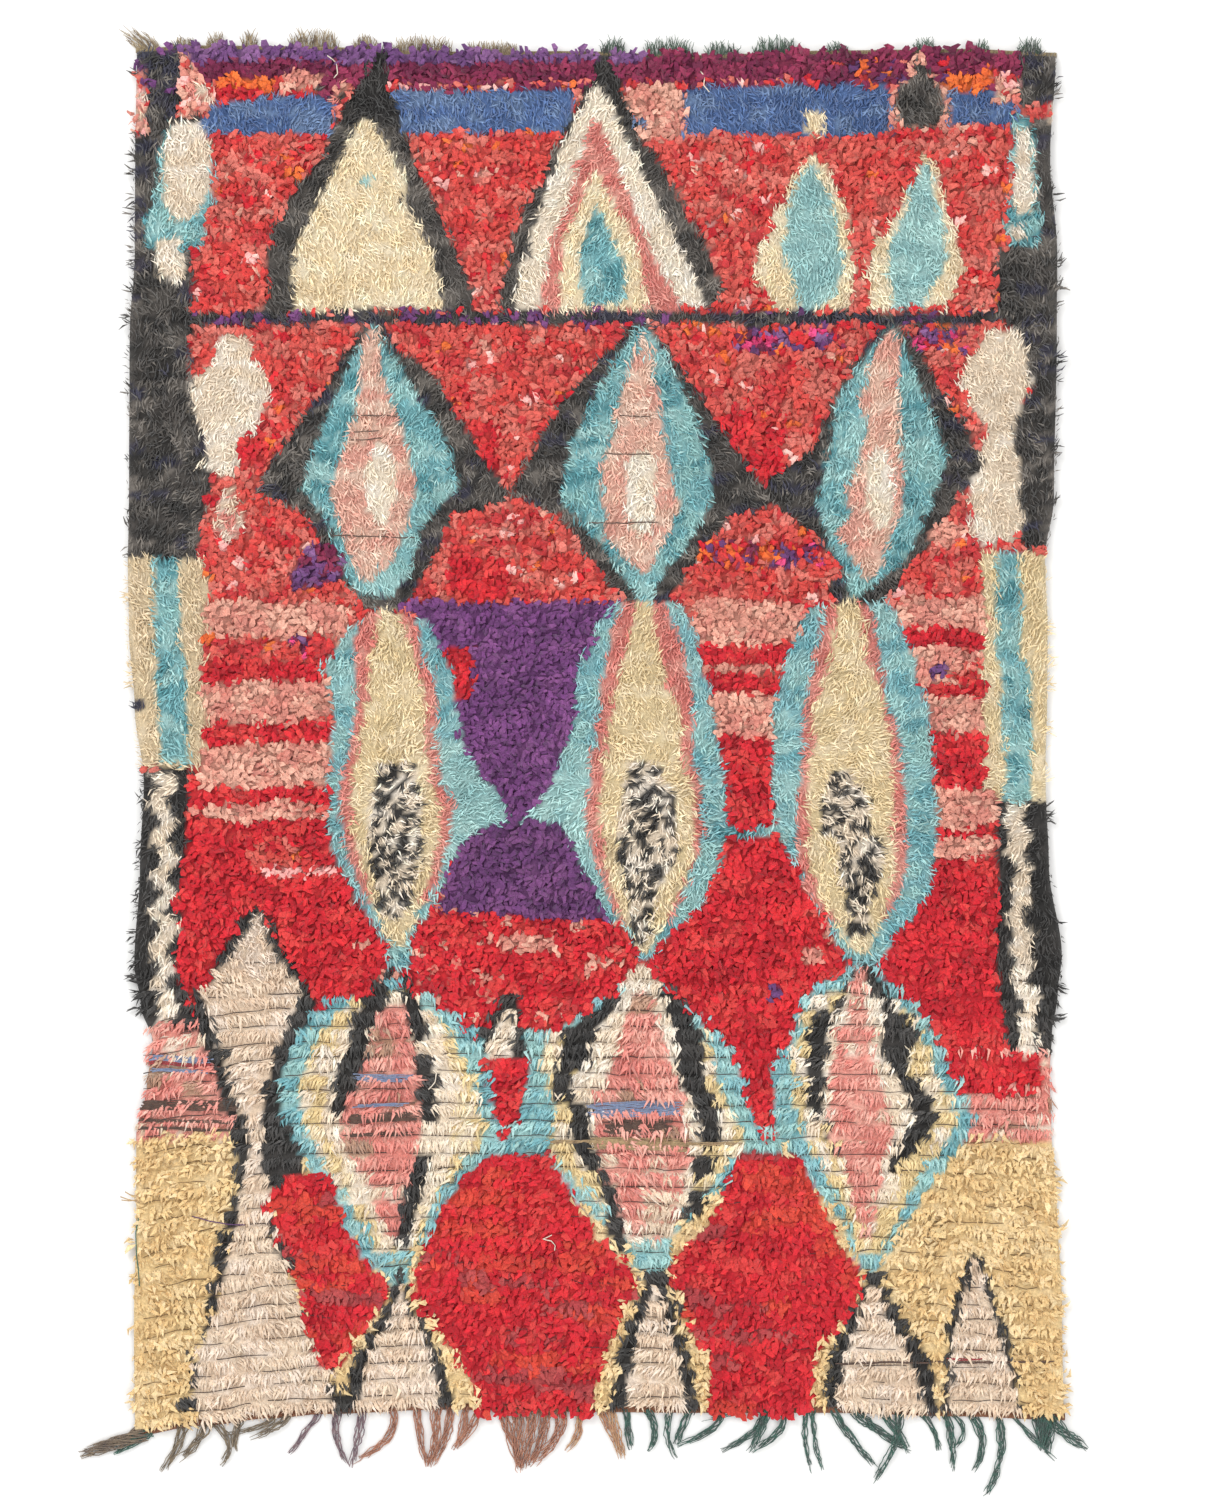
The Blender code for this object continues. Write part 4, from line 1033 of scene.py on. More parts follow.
def planting_tree(folder, material):
    """Geometry Nodes that stand a strand on every root, by the root's own turn, size and shape."""
    tree = bpy.data.node_groups.new("plant_" + folder.name, "GeometryNodeTree")
    tree.interface.new_socket("Geometry", in_out="INPUT", socket_type="NodeSocketGeometry")
    tree.interface.new_socket("Geometry", in_out="OUTPUT", socket_type="NodeSocketGeometry")

    def named(name, kind):
        return add_node(tree, "GeometryNodeInputNamedAttribute", {"Name": name}, data_type=kind)

    roots = add_node(tree, "NodeGroupInput")
    result = add_node(tree, "NodeGroupOutput")
    pick = {"Collection": folder, "Separate Children": True, "Reset Children": True}
    strands = add_node(tree, "GeometryNodeCollectionInfo", pick)
    turn = add_node(tree, "FunctionNodeEulerToRotation")
    plant = add_node(tree, "GeometryNodeInstanceOnPoints", {"Pick Instance": True})
    real = add_node(tree, "GeometryNodeRealizeInstances")
    dyed = add_node(tree, "GeometryNodeSetMaterial", {"Material": material})
    join(
        tree,
        (roots, "Geometry", plant, "Points"),
        (strands, "Instances", plant, "Instance"),
        (named("shape", "INT"), "Attribute", plant, "Instance Index"),
        (named("turn", "FLOAT_VECTOR"), "Attribute", turn, "Euler"),
        (turn, "Rotation", plant, "Rotation"),
        (named("size", "FLOAT_VECTOR"), "Attribute", plant, "Scale"),
        (plant, "Instances", real, "Geometry"),
        (real, "Geometry", dyed, "Geometry"),
        (dyed, "Geometry", result, "Geometry"),
    )
    return tree


def plant(name, strands, colours, tree, material):
    """The strands as one plain mesh, each with its own small square of the texture map."""
    count = len(colours)
    cloud = bpy.data.meshes.new(name + "_roots")
    cloud.vertices.add(count)
    cloud.vertices.foreach_set("co", strands["place"].ravel())
    for layer_name, kind, field, values in (
        ("turn", "FLOAT_VECTOR", "vector", strands["turn"]),
        ("size", "FLOAT_VECTOR", "vector", strands["size"]),
        ("shape", "INT", "value", strands["shape"]),
        ("strand", "INT", "value", np.arange(count)),
        ("dye", "FLOAT_COLOR", "color", colours),
    ):
        layer = cloud.attributes.new(layer_name, kind, "POINT")
        layer.data.foreach_set(field, np.ascontiguousarray(values).ravel())
    carrier = bpy.data.objects.new(name + "_roots", cloud)
    carrier.modifiers.new("planting", "NODES").node_group = tree
    data = plain_mesh(name, carrier)
    keep_off_floor(data)
    spread_map(data, count)
    for used_up in ("turn", "size", "shape", "strand"):
        if used_up in data.attributes:
            data.attributes.remove(data.attributes[used_up])
    data.materials.clear()
    data.materials.append(material)
    return show(name, data)


def plain_mesh(name, carrier):
    """What the object comes to once its modifiers or bevels are applied, as a plain mesh. The object goes."""
    bpy.context.scene.collection.objects.link(carrier)
    bpy.context.view_layer.update()
    graph = bpy.context.evaluated_depsgraph_get()
    data = bpy.data.meshes.new_from_object(carrier.evaluated_get(graph))
    data.name = name
    bpy.data.objects.remove(carrier)
    return data


def vertex_places(data):
    spots = np.empty(len(data.vertices) * 3, dtype=np.float32)
    data.vertices.foreach_get("co", spots)
    return spots.reshape(-1, 3)


def keep_off_floor(data):
    """Lifts what droops below the ground weave's underside at the rim."""
    spots = vertex_places(data)
    spots[:, 2] = np.maximum(spots[:, 2], GROUND_UNDERSIDE + 0.0005)
    data.vertices.foreach_set("co", spots.ravel())


def spread_map(data, count):
    """Moves each strand's map into its own cell of a square grid."""
    cells = math.ceil(math.sqrt(count))
    strand = np.empty(len(data.vertices), dtype=np.int32)
    data.attributes["strand"].data.foreach_get("value", strand)
    vertex = np.empty(len(data.loops), dtype=np.int32)
    data.loops.foreach_get("vertex_index", vertex)
    layer = data.uv_layers["OFBake"]
    spots = np.empty(len(data.loops) * 2, dtype=np.float32)
    layer.uv.foreach_get("vector", spots)
    spots = spots.reshape(-1, 2).clip(0, 1) * 0.84 + 0.08
    owner = strand[vertex]
    corner = np.column_stack((owner % cells, owner // cells))
    layer.uv.foreach_set("vector", ((corner + spots) / cells).astype(np.float32).ravel())


def show(name, data):
    """A shown piece of the rug, on the frame's one body."""
    piece = bpy.data.objects.new(name, data)
    bpy.context.scene.collection.objects.link(piece)
    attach(piece, "root")
    return piece


def fibre_material(name, roughness, sheen, grain, dye=None, second_dye=None):
    """Matt fibre: the strand's own dye, or one or two dyes, mottled by fine grain and by painted shade that
    follows the crumpling bump.
    """
    material = bpy.data.materials.new(name)
    material.use_nodes = True
    tree = material.node_tree
    shader = tree.nodes["Principled BSDF"]
    shader.inputs["Roughness"].default_value = roughness
    shader.inputs["Sheen Weight"].default_value = sheen
    shader.inputs["Sheen Roughness"].default_value = 0.6
    shader.inputs["Specular IOR Level"].default_value = 0.2
    where = add_node(tree, "ShaderNodeTexCoord")

    def noise(scale, low, high):
        """A noise and its map to tones between low and high."""
        texture = add_node(tree, "ShaderNodeTexNoise", {"Scale": scale, "Detail": 3})
        span = {"From Min": 0.3, "From Max": 0.7, "To Min": low, "To Max": high}
        tone = add_node(tree, "ShaderNodeMapRange", span)
        join(tree, (where, "Object", texture, "Vector"), (texture, "Fac", tone, "Value"))
        return texture, tone

    fine, fine_tone = noise(grain, 0.82, 1.12)
    # Painted shade and light: the crumpling darkens the colour where its bump sinks and lightens it where it
    # rises
    crumple, crumple_painted_shade = noise(CRUMPLE_SCALE, 0.80, 1.14)
    both = add_node(tree, "ShaderNodeMath", operation="MULTIPLY")
    mottled = add_node(tree, "ShaderNodeMix", {"Factor": 1}, data_type="RGBA", blend_type="MULTIPLY")
    mottled.name = "mottled"
    if dye is None:
        own = add_node(tree, "ShaderNodeAttribute", attribute_name="dye")
        join(tree, (own, "Color", mottled, "A"))
    else:
        patchy, share = noise(PLY_SCALE, 0, 1)
        tones = {"A": shader_colour(dye), "B": shader_colour(second_dye or dye)}
        dyes = add_node(tree, "ShaderNodeMix", tones, data_type="RGBA")
        join(tree, (share, "Result", dyes, "Factor"), (dyes, "Result", mottled, "A"))
    relief = add_node(tree, "ShaderNodeMath", {1: 2}, operation="MULTIPLY_ADD")
    bump = add_node(tree, "ShaderNodeBump", {"Strength": 0.6, "Distance": 0.0009})
    join(
        tree,
        (fine_tone, "Result", both, 0),
        (crumple_painted_shade, "Result", both, 1),
        (both, "Value", mottled, "B"),
        (mottled, "Result", shader, "Base Color"),
        (crumple, "Fac", relief, 0),
        (fine, "Fac", relief, 2),
        (relief, "Value", bump, "Height"),
        (bump, "Normal", shader, "Normal"),
    )
    return material


def woven_material(name, warp, weft):
    """Plain weave: weft ribs across the rug over the warps between them, in two tones."""
    material = fibre_material(name, 0.9, 0.2, 500, weft)
    tree = material.node_tree
    where = tree.nodes["Texture Coordinate"]
    rib_wave = {"Scale": 90, "Distortion": 2.5, "Detail Scale": 3}
    ribs = add_node(tree, "ShaderNodeTexWave", rib_wave, bands_direction="Y")
    ends = add_node(tree, "ShaderNodeTexWave", {"Scale": 60, "Distortion": 1.5}, bands_direction="X")
    both = add_node(tree, "ShaderNodeMath", operation="MULTIPLY")
    tones = {"A": shader_colour(warp), "B": shader_colour(weft)}
    blend = add_node(tree, "ShaderNodeMix", tones, data_type="RGBA")
    join(
        tree,
        (where, "Object", ribs, "Vector"),
        (where, "Object", ends, "Vector"),
        (ribs, "Fac", both, 0),
        (ends, "Fac", both, 1),
        (both, "Value", blend, "Factor"),
        (blend, "Result", tree.nodes["mottled"], "A"),
        (both, "Value", tree.nodes["Bump"], "Height"),
    )
    return material


def sheet_mesh(name, columns, rows, place, top, underside):
    """A thin closed sheet over a grid of places across and along the rug."""
    mesh = bmesh.new()
    mesh.loops.layers.uv.new("OFBake")
    bmesh.ops.create_grid(mesh, x_segments=columns, y_segments=rows, size=0.5, calc_uvs=True)
    rim = [edge for edge in mesh.edges if edge.is_boundary]
    side = bmesh.ops.extrude_edge_only(mesh, edges=rim)["geom"]
    low = [item for item in side if isinstance(item, bmesh.types.BMVert)]
    for vertex in low:
        vertex.co.z = -1
    bmesh.ops.contextual_create(mesh, geom=[edge for edge in mesh.edges if edge.is_boundary])
    bmesh.ops.recalc_face_normals(mesh, faces=mesh.faces)
    data = bpy.data.meshes.new(name)
    mesh.to_mesh(data)
    mesh.free()
    spots = vertex_places(data)
    x, y = place(spots[:, 0] + 0.5, spots[:, 1] + 0.5)
    z = np.where(spots[:, 2] < -0.5, underside, top(x, y))
    spots = np.column_stack((x + CENTRE.x, y + CENTRE.y, z)).astype(np.float32)
    data.vertices.foreach_set("co", spots.ravel())
    data.update()
    data.shade_smooth()
    return data


def ground_place(across, along, inset=0.004):
    """A place on the ground weave from its shares of the width and length."""
    y = (2 * along - 1) * HALF_LENGTH
    west = -read_table(SIDES, "west", y) + inset
    east = read_table(SIDES, "east", y) - inset
    x = west + (east - west) * across
    near, far = read_table(ENDS, "near", x), read_table(ENDS, "far", x)
    return x, near + (far - near) * along


def ground_height(x, y):
    """The ground weave's slightly uneven top."""
    return GROUND_TOP + 0.0006 * drift(x, y, 0.03, 51)


def strand_lines(name, lines, radius, material):
    """Lines of points as one mesh of thin four-sided yarns, each line (points, width at each point)."""
    curve = bpy.data.curves.new(name, "CURVE")
    curve.dimensions = "3D"
    curve.bevel_depth = radius
    curve.bevel_resolution = 0
    curve.use_fill_caps = True
    for points, widths in lines:
        spline = curve.splines.new("POLY")
        spline.points.add(len(points) - 1)
        spline.points.foreach_set("co", np.column_stack((points, np.ones(len(points)))).ravel())
        spline.points.foreach_set("radius", np.asarray(widths, dtype=float))
    data = plain_mesh(name, bpy.data.objects.new(name + "_lines", curve))
    data.shade_smooth()
    data.materials.clear()
    data.materials.append(material)
    return show(name, data)


# The long fringe, in metres: root across the rug, how far the middle and the tip sway sideways, reach from
# the woven end, and width
Strand = namedtuple("Strand", "root sway_mid sway_tip reach width")
LONG_FRINGE = tuple(Strand(*row) for row in (
    (-0.800, -0.054, -0.113, 0.035, 0.012), (-0.798, -0.046, -0.106, 0.029, 0.012),
    (-0.787, -0.035, -0.067, 0.034, 0.009), (-0.729, -0.014, -0.039, 0.080, 0.014),
    (-0.687, -0.018, -0.053, 0.061, 0.014), (-0.676, 0.026, 0.011, 0.071, 0.011),
    (-0.628, -0.009, -0.012, 0.053, 0.011), (-0.570, -0.019, -0.081, 0.029, 0.009),
    (-0.542, -0.023, -0.071, 0.037, 0.011), (-0.487, -0.028, -0.055, 0.071, 0.009),
    (-0.457, -0.002, 0.021, 0.093, 0.011), (-0.413, -0.009, -0.021, 0.097, 0.012),
    (-0.362, -0.004, -0.069, 0.092, 0.012), (-0.318, 0.007, 0.019, 0.101, 0.011),
    (-0.282, -0.002, -0.012, 0.102, 0.014), (-0.258, -0.007, -0.034, 0.097, 0.012),
    (-0.231, -0.005, -0.021, 0.072, 0.011), (-0.205, -0.016, -0.044, 0.066, 0.012),
    (-0.169, 0.019, 0.034, 0.108, 0.014), (-0.138, 0.000, 0.005, 0.109, 0.016),
    (-0.113, -0.005, -0.016, 0.101, 0.016), (-0.090, -0.007, -0.030, 0.096, 0.016),
    (-0.065, -0.005, -0.046, 0.090, 0.016), (-0.035, 0.004, -0.019, 0.070, 0.011),
    (0.007, 0.021, 0.039, 0.082, 0.012), (0.026, 0.011, 0.026, 0.084, 0.012),
    (0.053, 0.004, 0.007, 0.067, 0.011), (0.090, 0.014, 0.002, 0.069, 0.011),
    (0.131, -0.005, 0.011, 0.081, 0.009), (0.166, -0.014, -0.025, 0.056, 0.011),
    (0.219, -0.011, -0.076, 0.058, 0.011), (0.258, -0.016, -0.072, 0.010, 0.007),
    (0.298, -0.018, -0.076, 0.068, 0.011), (0.304, -0.014, -0.034, 0.070, 0.012),
    (0.330, -0.007, -0.055, 0.068, 0.011), (0.374, -0.004, 0.009, 0.107, 0.007),
    (0.383, 0.005, 0.018, 0.109, 0.007), (0.418, 0.035, 0.079, 0.098, 0.011),
    (0.457, 0.042, 0.101, 0.067, 0.014), (0.503, 0.030, 0.053, 0.067, 0.012),
    (0.537, -0.012, -0.049, 0.120, 0.012), (0.575, 0.023, 0.032, 0.062, 0.009),
    (0.618, 0.011, 0.012, 0.098, 0.011), (0.630, 0.019, -0.002, 0.061, 0.007),
    (0.662, 0.021, 0.004, 0.097, 0.012), (0.710, 0.005, -0.023, 0.141, 0.011),
    (0.740, 0.032, 0.074, 0.073, 0.007), (0.780, 0.007, 0.011, 0.055, 0.012),
    (0.796, 0.002, 0.000, 0.058, 0.012), (0.800, 0.030, 0.070, 0.051, 0.011),
))

# The woven ends without knots: widths, and the thickness of both
END_WIDTH = 0.012
FRAY_END_WIDTH = 0.008
END_THICKNESS = 0.005

# Fringe colours: up to which place across from the west, the piece's name and the two tones of its yarns
FringeDye = namedtuple("FringeDye", "upto piece tone second")
FRINGE_DYES = (
    FringeDye(-0.792, "fringe_corner", (142, 124, 102), (104, 88, 78)),
    FringeDye(-0.780, "fringe_teal", (42, 104, 88), (62, 88, 78)),
    FringeDye(-0.510, "fringe_olive", (146, 128, 102), (106, 94, 80)),
    FringeDye(-0.370, "fringe_mauve", (148, 120, 124), (106, 88, 100)),
    FringeDye(-0.050, "fringe_rust", (192, 134, 106), (150, 98, 78)),
    FringeDye(0.040, "fringe_tan", (204, 166, 124), (178, 122, 92)),
    FringeDye(2, "fringe_green", (50, 102, 88), (66, 80, 76)),
)

# How wide a bundle of yarns is against its strand, and how much wider again at the corners
BUNDLE_SHARE = 1.55
CORNER_FROM = 0.775
CORNER_SPLAY = 1.7

# The yarns of a bundle: spacing, radius, length of one turn, size and length of a crinkle, and how far a
# bundle is lifted over its neighbour
YARN_SPACING = 0.0022
FRINGE_YARN_RADIUS = 0.0011
BUNDLE_PITCH = 0.16
CRINKLE = 0.0011
CRINKLE_PITCH = 0.008
FRINGE_LIFT = 0.0026

# The frayed end: first and last root of each brush of short warps, how far it reaches and how far it leans
BRUSH_SPACING = 0.0013
BRUSH_RADIUS = 0.0008
Brush = namedtuple("Brush", "start end reach lean", defaults=(0,))
FRAYED_BRUSHES = (
    Brush(-0.806, -0.776, 0.026, -0.9),
    Brush(-0.742, -0.716, 0.016),
    Brush(-0.684, -0.660, 0.020),
    Brush(-0.622, -0.604, 0.026),
    Brush(-0.536, -0.462, 0.026),
    Brush(-0.424, -0.388, 0.020),
    Brush(-0.352, -0.262, 0.022),
    Brush(-0.226, -0.146, 0.016),
    Brush(0.014, 0.046, 0.022),
    Brush(0.094, 0.166, 0.024),
    Brush(0.200, 0.246, 0.022),
    Brush(0.284, 0.352, 0.022),
    Brush(0.414, 0.438, 0.014),
    Brush(0.566, 0.592, 0.018),
    Brush(0.672, 0.690, 0.014),
    Brush(0.750, 0.784, 0.020),
)


def fringe_yarns(strand, lift, chance):
    """A fringe strand's crinkled yarns, loosely turned together from the woven end to their fraying tips, and
    lifted where the strand lies over its neighbour."""
    near = float(read_table(ENDS, "near", strand.root))
    root_y = near - END_WIDTH + 0.006
    tip_y = near - END_WIDTH - strand.reach
    steps = max(9, round(strand.reach / 0.0062))
    share = np.linspace(0, 1, steps)
    sway = 4 * share * (1 - share) * strand.sway_mid
    x = strand.root + sway + share * (2 * share - 1) * strand.sway_tip
    y = root_y + (tip_y - root_y) * share
    along = np.concatenate(([0], np.cumsum(np.hypot(np.diff(x), np.diff(y)))))
    across = np.column_stack((-np.gradient(y), np.gradient(x)))
    across /= np.linalg.norm(across, axis=1)[:, None]
    broad = strand.width * BUNDLE_SHARE * (CORNER_SPLAY if abs(strand.root) > CORNER_FROM else 1)
    count = round(broad / YARN_SPACING)
    lines = []
    for yarn in range(count):
        orbit = broad / 2 * math.sqrt((yarn + 0.5) / count) * (1 - 0.4 * share)
        angle = yarn * 2.4 + chance.uniform(-0.4, 0.4) + along * 2 * math.pi / BUNDLE_PITCH
        kink = along * 2 * math.pi / CRINKLE_PITCH + chance.uniform(0, 6)
        off = orbit * np.cos(angle) + CRINKLE * np.sin(kink) + CRINKLE * chance.normal(0, 0.7, steps)
        off += chance.uniform(-0.3, 0.3) * strand.width * share**5
        over = 0.0016 + np.minimum(0.35 * orbit, 0.0028) * (1 + np.sin(angle))
        over = over + lift * np.sin(share * math.pi)
        points = np.column_stack((x + across[:, 0] * off, y + across[:, 1] * off, over))
        points[:, :2] += (CENTRE.x, CENTRE.y)
        kept = steps - chance.integers(0, 1 + steps // 6)
        widths = 1.05 - 0.3 * share + 0.15 * chance.uniform(-1, 1, steps)
        widths[kept - 1] *= 0.5
        lines.append((points[:kept], widths[:kept]))
    return lines


def brush_lines(brush, chance):
    """A brush of fine short warps that stands out of the frayed end."""
    count = round((brush.end - brush.start) / BRUSH_SPACING) + 10
    lines = []
    for x in np.linspace(brush.start - 0.005, brush.end + 0.005, count):
        far = float(read_table(ENDS, "far", x)) + FRAY_END_WIDTH * 0.4
        inside = 1 - abs(2 * (x - brush.start) / (brush.end - brush.start) - 1) ** 3
        reach = brush.reach * chance.uniform(0.85, 1.6) * (0.72 + 0.28 * max(inside, -0.5))
        lean = brush.lean + chance.uniform(-0.4, 0.4)
        share = np.linspace(0, 1, 6)
        points = np.column_stack(
            (
                x + CENTRE.x + reach * lean * share**1.5,
                far + CENTRE.y + reach * share,
                0.0026 + 0.0110 * share * chance.uniform(0.1, 1),
            )
        )
        points[:, :2] += 0.0013 * share[:, None] * chance.normal(0, 1, (6, 2))
        lines.append((points, [1, 1, 1, 0.9, 0.8, 0.4]))
    return lines


# The dyes of the worn part between whose rows the dark wefts show
WEFTS_SHOW_IN = (
    "ivory", "ivory_pink", "worn_pink", "rose_mix", "pink", "cream_ivory", "soft_turquoise", "broken_black",
)
WEFT_RADIUS = 0.0008

# Bare wefts where the pile has worn away: tone, then from where to where down the rug and across it, in
# centimetres from the far end and the centre line
Bare = namedtuple("Bare", "tone start end west east")
BARE_WEFTS = (
    Bare("brown", 64.6, 64.7, -43.4, -35.8),
    Bare("brown", 67.1, 67.2, -43.0, -36.7),
    Bare("brown", 68.5, 68.6, -43.0, -36.5),
    Bare("brown", 86.1, 86.2, -45.5, -31.0),
    Bare("brown", 65.0, 65.1, 4.4, 10.2),
    Bare("brown", 71.5, 71.6, 0.7, 10.6),
    Bare("brown", 83.1, 83.2, -1.0, 11.3),
    Bare("blue", 177.7, 178.7, -82.6, -67.8),
    Bare("red", 178.8, 179.5, -78.7, -67.8),
    Bare("blue", 180.0, 180.5, -80.5, -69.0),
    Bare("brown", 185.8, 187.1, -83.0, -62.8),
    Bare("brown", 188.8, 189.3, -83.0, -63.7),
    Bare("brown", 190.4, 190.8, -83.0, -63.7),
    Bare("blue", 180.9, 181.8, -42.5, -32.8),
    Bare("blue", 186.0, 186.4, -42.5, -32.5),
    Bare("brown", 187.6, 189.2, -44.0, -31.9),
    Bare("brown", 191.1, 191.8, -44.0, -32.8),
    Bare("blue", 186.0, 188.2, -1.1, 14.8),
    Bare("brown", 188.8, 191.2, 1.9, 13.4),
    Bare("tan", 192.0, 194.0, -1.1, 16.6),
    Bare("tan", 192.6, 193.0, -9.0, 25.4),
    Bare("brown", 231.7, 232.0, 43.0, 80.4),
    Bare("red", 231.2, 231.5, 62.0, 68.0),
)
WEFT_TONES = {
    "brown": ((104, 80, 68), (78, 60, 52)),
    "blue": ((138, 150, 176), (120, 135, 168)),
    "red": ((168, 62, 66), (140, 52, 58)),
    "tan": ((178, 154, 116), (150, 122, 92)),
}
WEFT_SPACING = 0.18
BARE_WEFT_RADIUS = 0.0011

# Loose threads that lie on the pile, by tone: places in centimetres from the far end and the centre line
Thread = namedtuple("Thread", "tone places")
LOOSE_THREADS = (
    Thread("teal", ((206.0, -80.8), (209.0, -81.3), (213.0, -81.1), (217.8, -80.6))),
    Thread("straw", ((203.4, -80.6), (202.9, -82.6), (202.3, -84.0))),
    Thread("straw", ((203.0, -80.9), (203.2, -82.4), (203.0, -83.8))),
    Thread("straw", ((202.4, -80.8), (202.0, -82.2), (201.4, -83.2))),
    Thread("white", ((209.2, -7.8), (210.0, -9.4), (210.3, -7.9), (211.5, -7.2), (212.4, -7.3))),
    Thread("white", ((183.4, -29.6), (181.8, -28.4), (180.6, -28.2), (180.2, -28.8))),
    Thread("white", ((1.3, -47.4), (2.6, -45.8), (4.0, -45.6), (4.8, -46.4))),
    Thread("white", ((3.2, 17.8), (5.0, 19.2), (6.4, 19.0), (7.6, 20.0))),
    Thread("violet", ((206.0, -71.3), (206.7, -68.0), (207.2, -65.0), (207.4, -62.0))),
)
THREAD_RADIUS = 0.0010
THREAD_LIFT = 0.0078
THREAD_TONES = {
    "teal": (48, 104, 92),
    "straw": (190, 158, 116),
    "white": (236, 224, 206),
    "violet": (92, 56, 104),
}


def weft_lines(showing, bare_over, waves, seed):
    """Wefts that show between the worn rows in these dyes, where a drift is over bare_over."""
    lines = []
    showing = [DYE_NAMES.index(name) for name in showing]
    for row in range(1, ROWS):
        x = np.arange(-0.80, 0.79, 0.010)
        near, far = row_span(x)
        y = near + (far - near) * row / ROWS
        if worn_share(y.mean()) < 0.2:
            break
        y = y + row_sag(x, y) + waves * drift(x, y + row, 0.02, 32)
        z = bed_height(x, y) + 0.0046 + 0.0022 * drift(x, y, 0.03, 33)
        shows = (drift(x, y, (0.05, 0.014), seed) > bare_over) & np.isin(dyes_at(x, y), showing)
        edges = np.diff(np.concatenate(([0], shows.astype(int), [0])))
        for start, stop in zip(np.flatnonzero(edges == 1), np.flatnonzero(edges == -1)):
            if stop - start < 3:
                continue
            part = slice(start, stop)
            points = np.column_stack((x[part] + CENTRE.x, y[part] + CENTRE.y, z[part]))
            lines.append((points, 1 + 0.35 * drift(x[part], y[part], 0.025, 35)))
    return lines


def on_pile(down, across, lift):
    """Points on the pile for places in centimetres from the far end and the centre line."""
    x, y = np.asarray(across) / 100, FAR_END - np.asarray(down) / 100
    return np.column_stack((x + CENTRE.x, y + row_sag(x, y) + CENTRE.y, bed_height(x, y) + lift))


def bare_weft_lines(tone, chance):
    """The bare wefts of one tone, side by side over each worn place."""
    lines = []
    for bare in BARE_WEFTS:
        if bare.tone != tone:
            continue
        for down in np.arange(bare.start, bare.end, WEFT_SPACING):
            across = np.arange(bare.west + chance.uniform(-1, 1), bare.east + chance.uniform(-1, 1), 0.9)
            side = 100 * read_table(SIDES, "west", FAR_END - down / 100) - 0.6
            across = across[across > -side]
            wander = down + 0.05 * chance.normal(0, 1, len(across))
            lift = 0.0062 + 0.0010 * drift(across / 100, wander / 100, 0.02, 37)
            lift = lift + (0.0014 if down < 100 else 0)
            lines.append((on_pile(wander, across, lift), 1 + 0.2 * chance.uniform(-1, 1, len(across))))
    return lines


def thread_lines(tone):
    """The loose threads of one tone."""
    lines = []
    for thread in LOOSE_THREADS:
        if thread.tone == tone:
            places = np.array(thread.places)
            stations = np.arange(len(places))
            finer = np.linspace(0, len(places) - 1, 5 * len(places))
            down, across = (np.interp(finer, stations, column) for column in places.T)
            lines.append((on_pile(down, across, THREAD_LIFT), np.ones(len(finer))))
    return lines


def build_ground():
    """The ground weave under the whole pile."""
    weave = woven_material("ground_weave", (96, 70, 56), (74, 54, 46))
    data = sheet_mesh("ground_weave", 56, 80, ground_place, ground_height, GROUND_UNDERSIDE)
    ground = show("ground_weave", data)
    ground.data.materials.append(weave)
    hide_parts("pile")
    return ground


def build_knots():
    """The dense bases of the knots, dyed like the pile that stands on them, with painted shade between
    strands.
    """

    def place(across, along):
        return ground_place(across, along, 0.003)

    data = sheet_mesh("knots", 150, 3 * ROWS, place, bed_height, GROUND_TOP + 0.0012)
    spots = vertex_places(data)
    x, y = spots[:, 0] - CENTRE.x, spots[:, 1] - CENTRE.y
    chance = np.random.default_rng(SEED + 9)
    # The bases' light is painted shade: darker under the plush, lighter where the pile is worn
    shade = {
        "dye": unmixed(dyes_at(x, y), x, y),
        "tone": tone_at(x, y, chance.uniform(0, 1, len(x))),
        "light": PLUSH_BED_PAINTED_SHADE + (WORN_BED_PAINTED_SHADE - PLUSH_BED_PAINTED_SHADE) * worn_share(y),
    }
    # The knot bases' dye colours hold this painted shade
    layer = data.attributes.new("dye", "FLOAT_COLOR", "POINT")
    layer.data.foreach_set("color", strand_colours(shade).ravel())
    data.materials.append(fibre_material("knot_bases", 0.9, 0.3, 320))
    piece = show("knots", data)
    return piece


def build_pile():
    """Every family's strands: yarn pieces, rag pieces, then the roving. A family grows over the whole rug, and
    each of its pieces keeps the strands of its own dyes."""
    pieces = [build_knots()]
    for kind, pile in PILES.items():
        strands = grow(pile, SEED + len(pieces))
        colours = strand_colours(strands)
        sheen, grain = (0.35, 700) if kind == "pile" else (0.22, 420)
        material = fibre_material(kind + "_fibre", 0.85, sheen, grain)
        tree = planting_tree(template_folder(pile.shape), material)
        owners = np.array([getattr(DYES[name], "piece", "") for name in DYE_NAMES])[strands["dye"]]
        for name in sorted(set(owners)):
            if not name.startswith(kind):
                continue
            here = owners == name
            own = {field: values[here] for field, values in strands.items()}
            piece = plant(name, own, colours[here], tree, material)
            pieces.append(piece)
    return pieces


def woven_end(name, place, weave):
    """A narrow band of weave without knots, with its warps as fine ribs."""

    def height(x, y):
        return END_THICKNESS * 0.8 + 0.0006 * np.sin(x * 900)

    band = show(name, sheet_mesh(name, 240, 4, place, height, GROUND_UNDERSIDE))
    band.data.materials.append(weave)
    return band


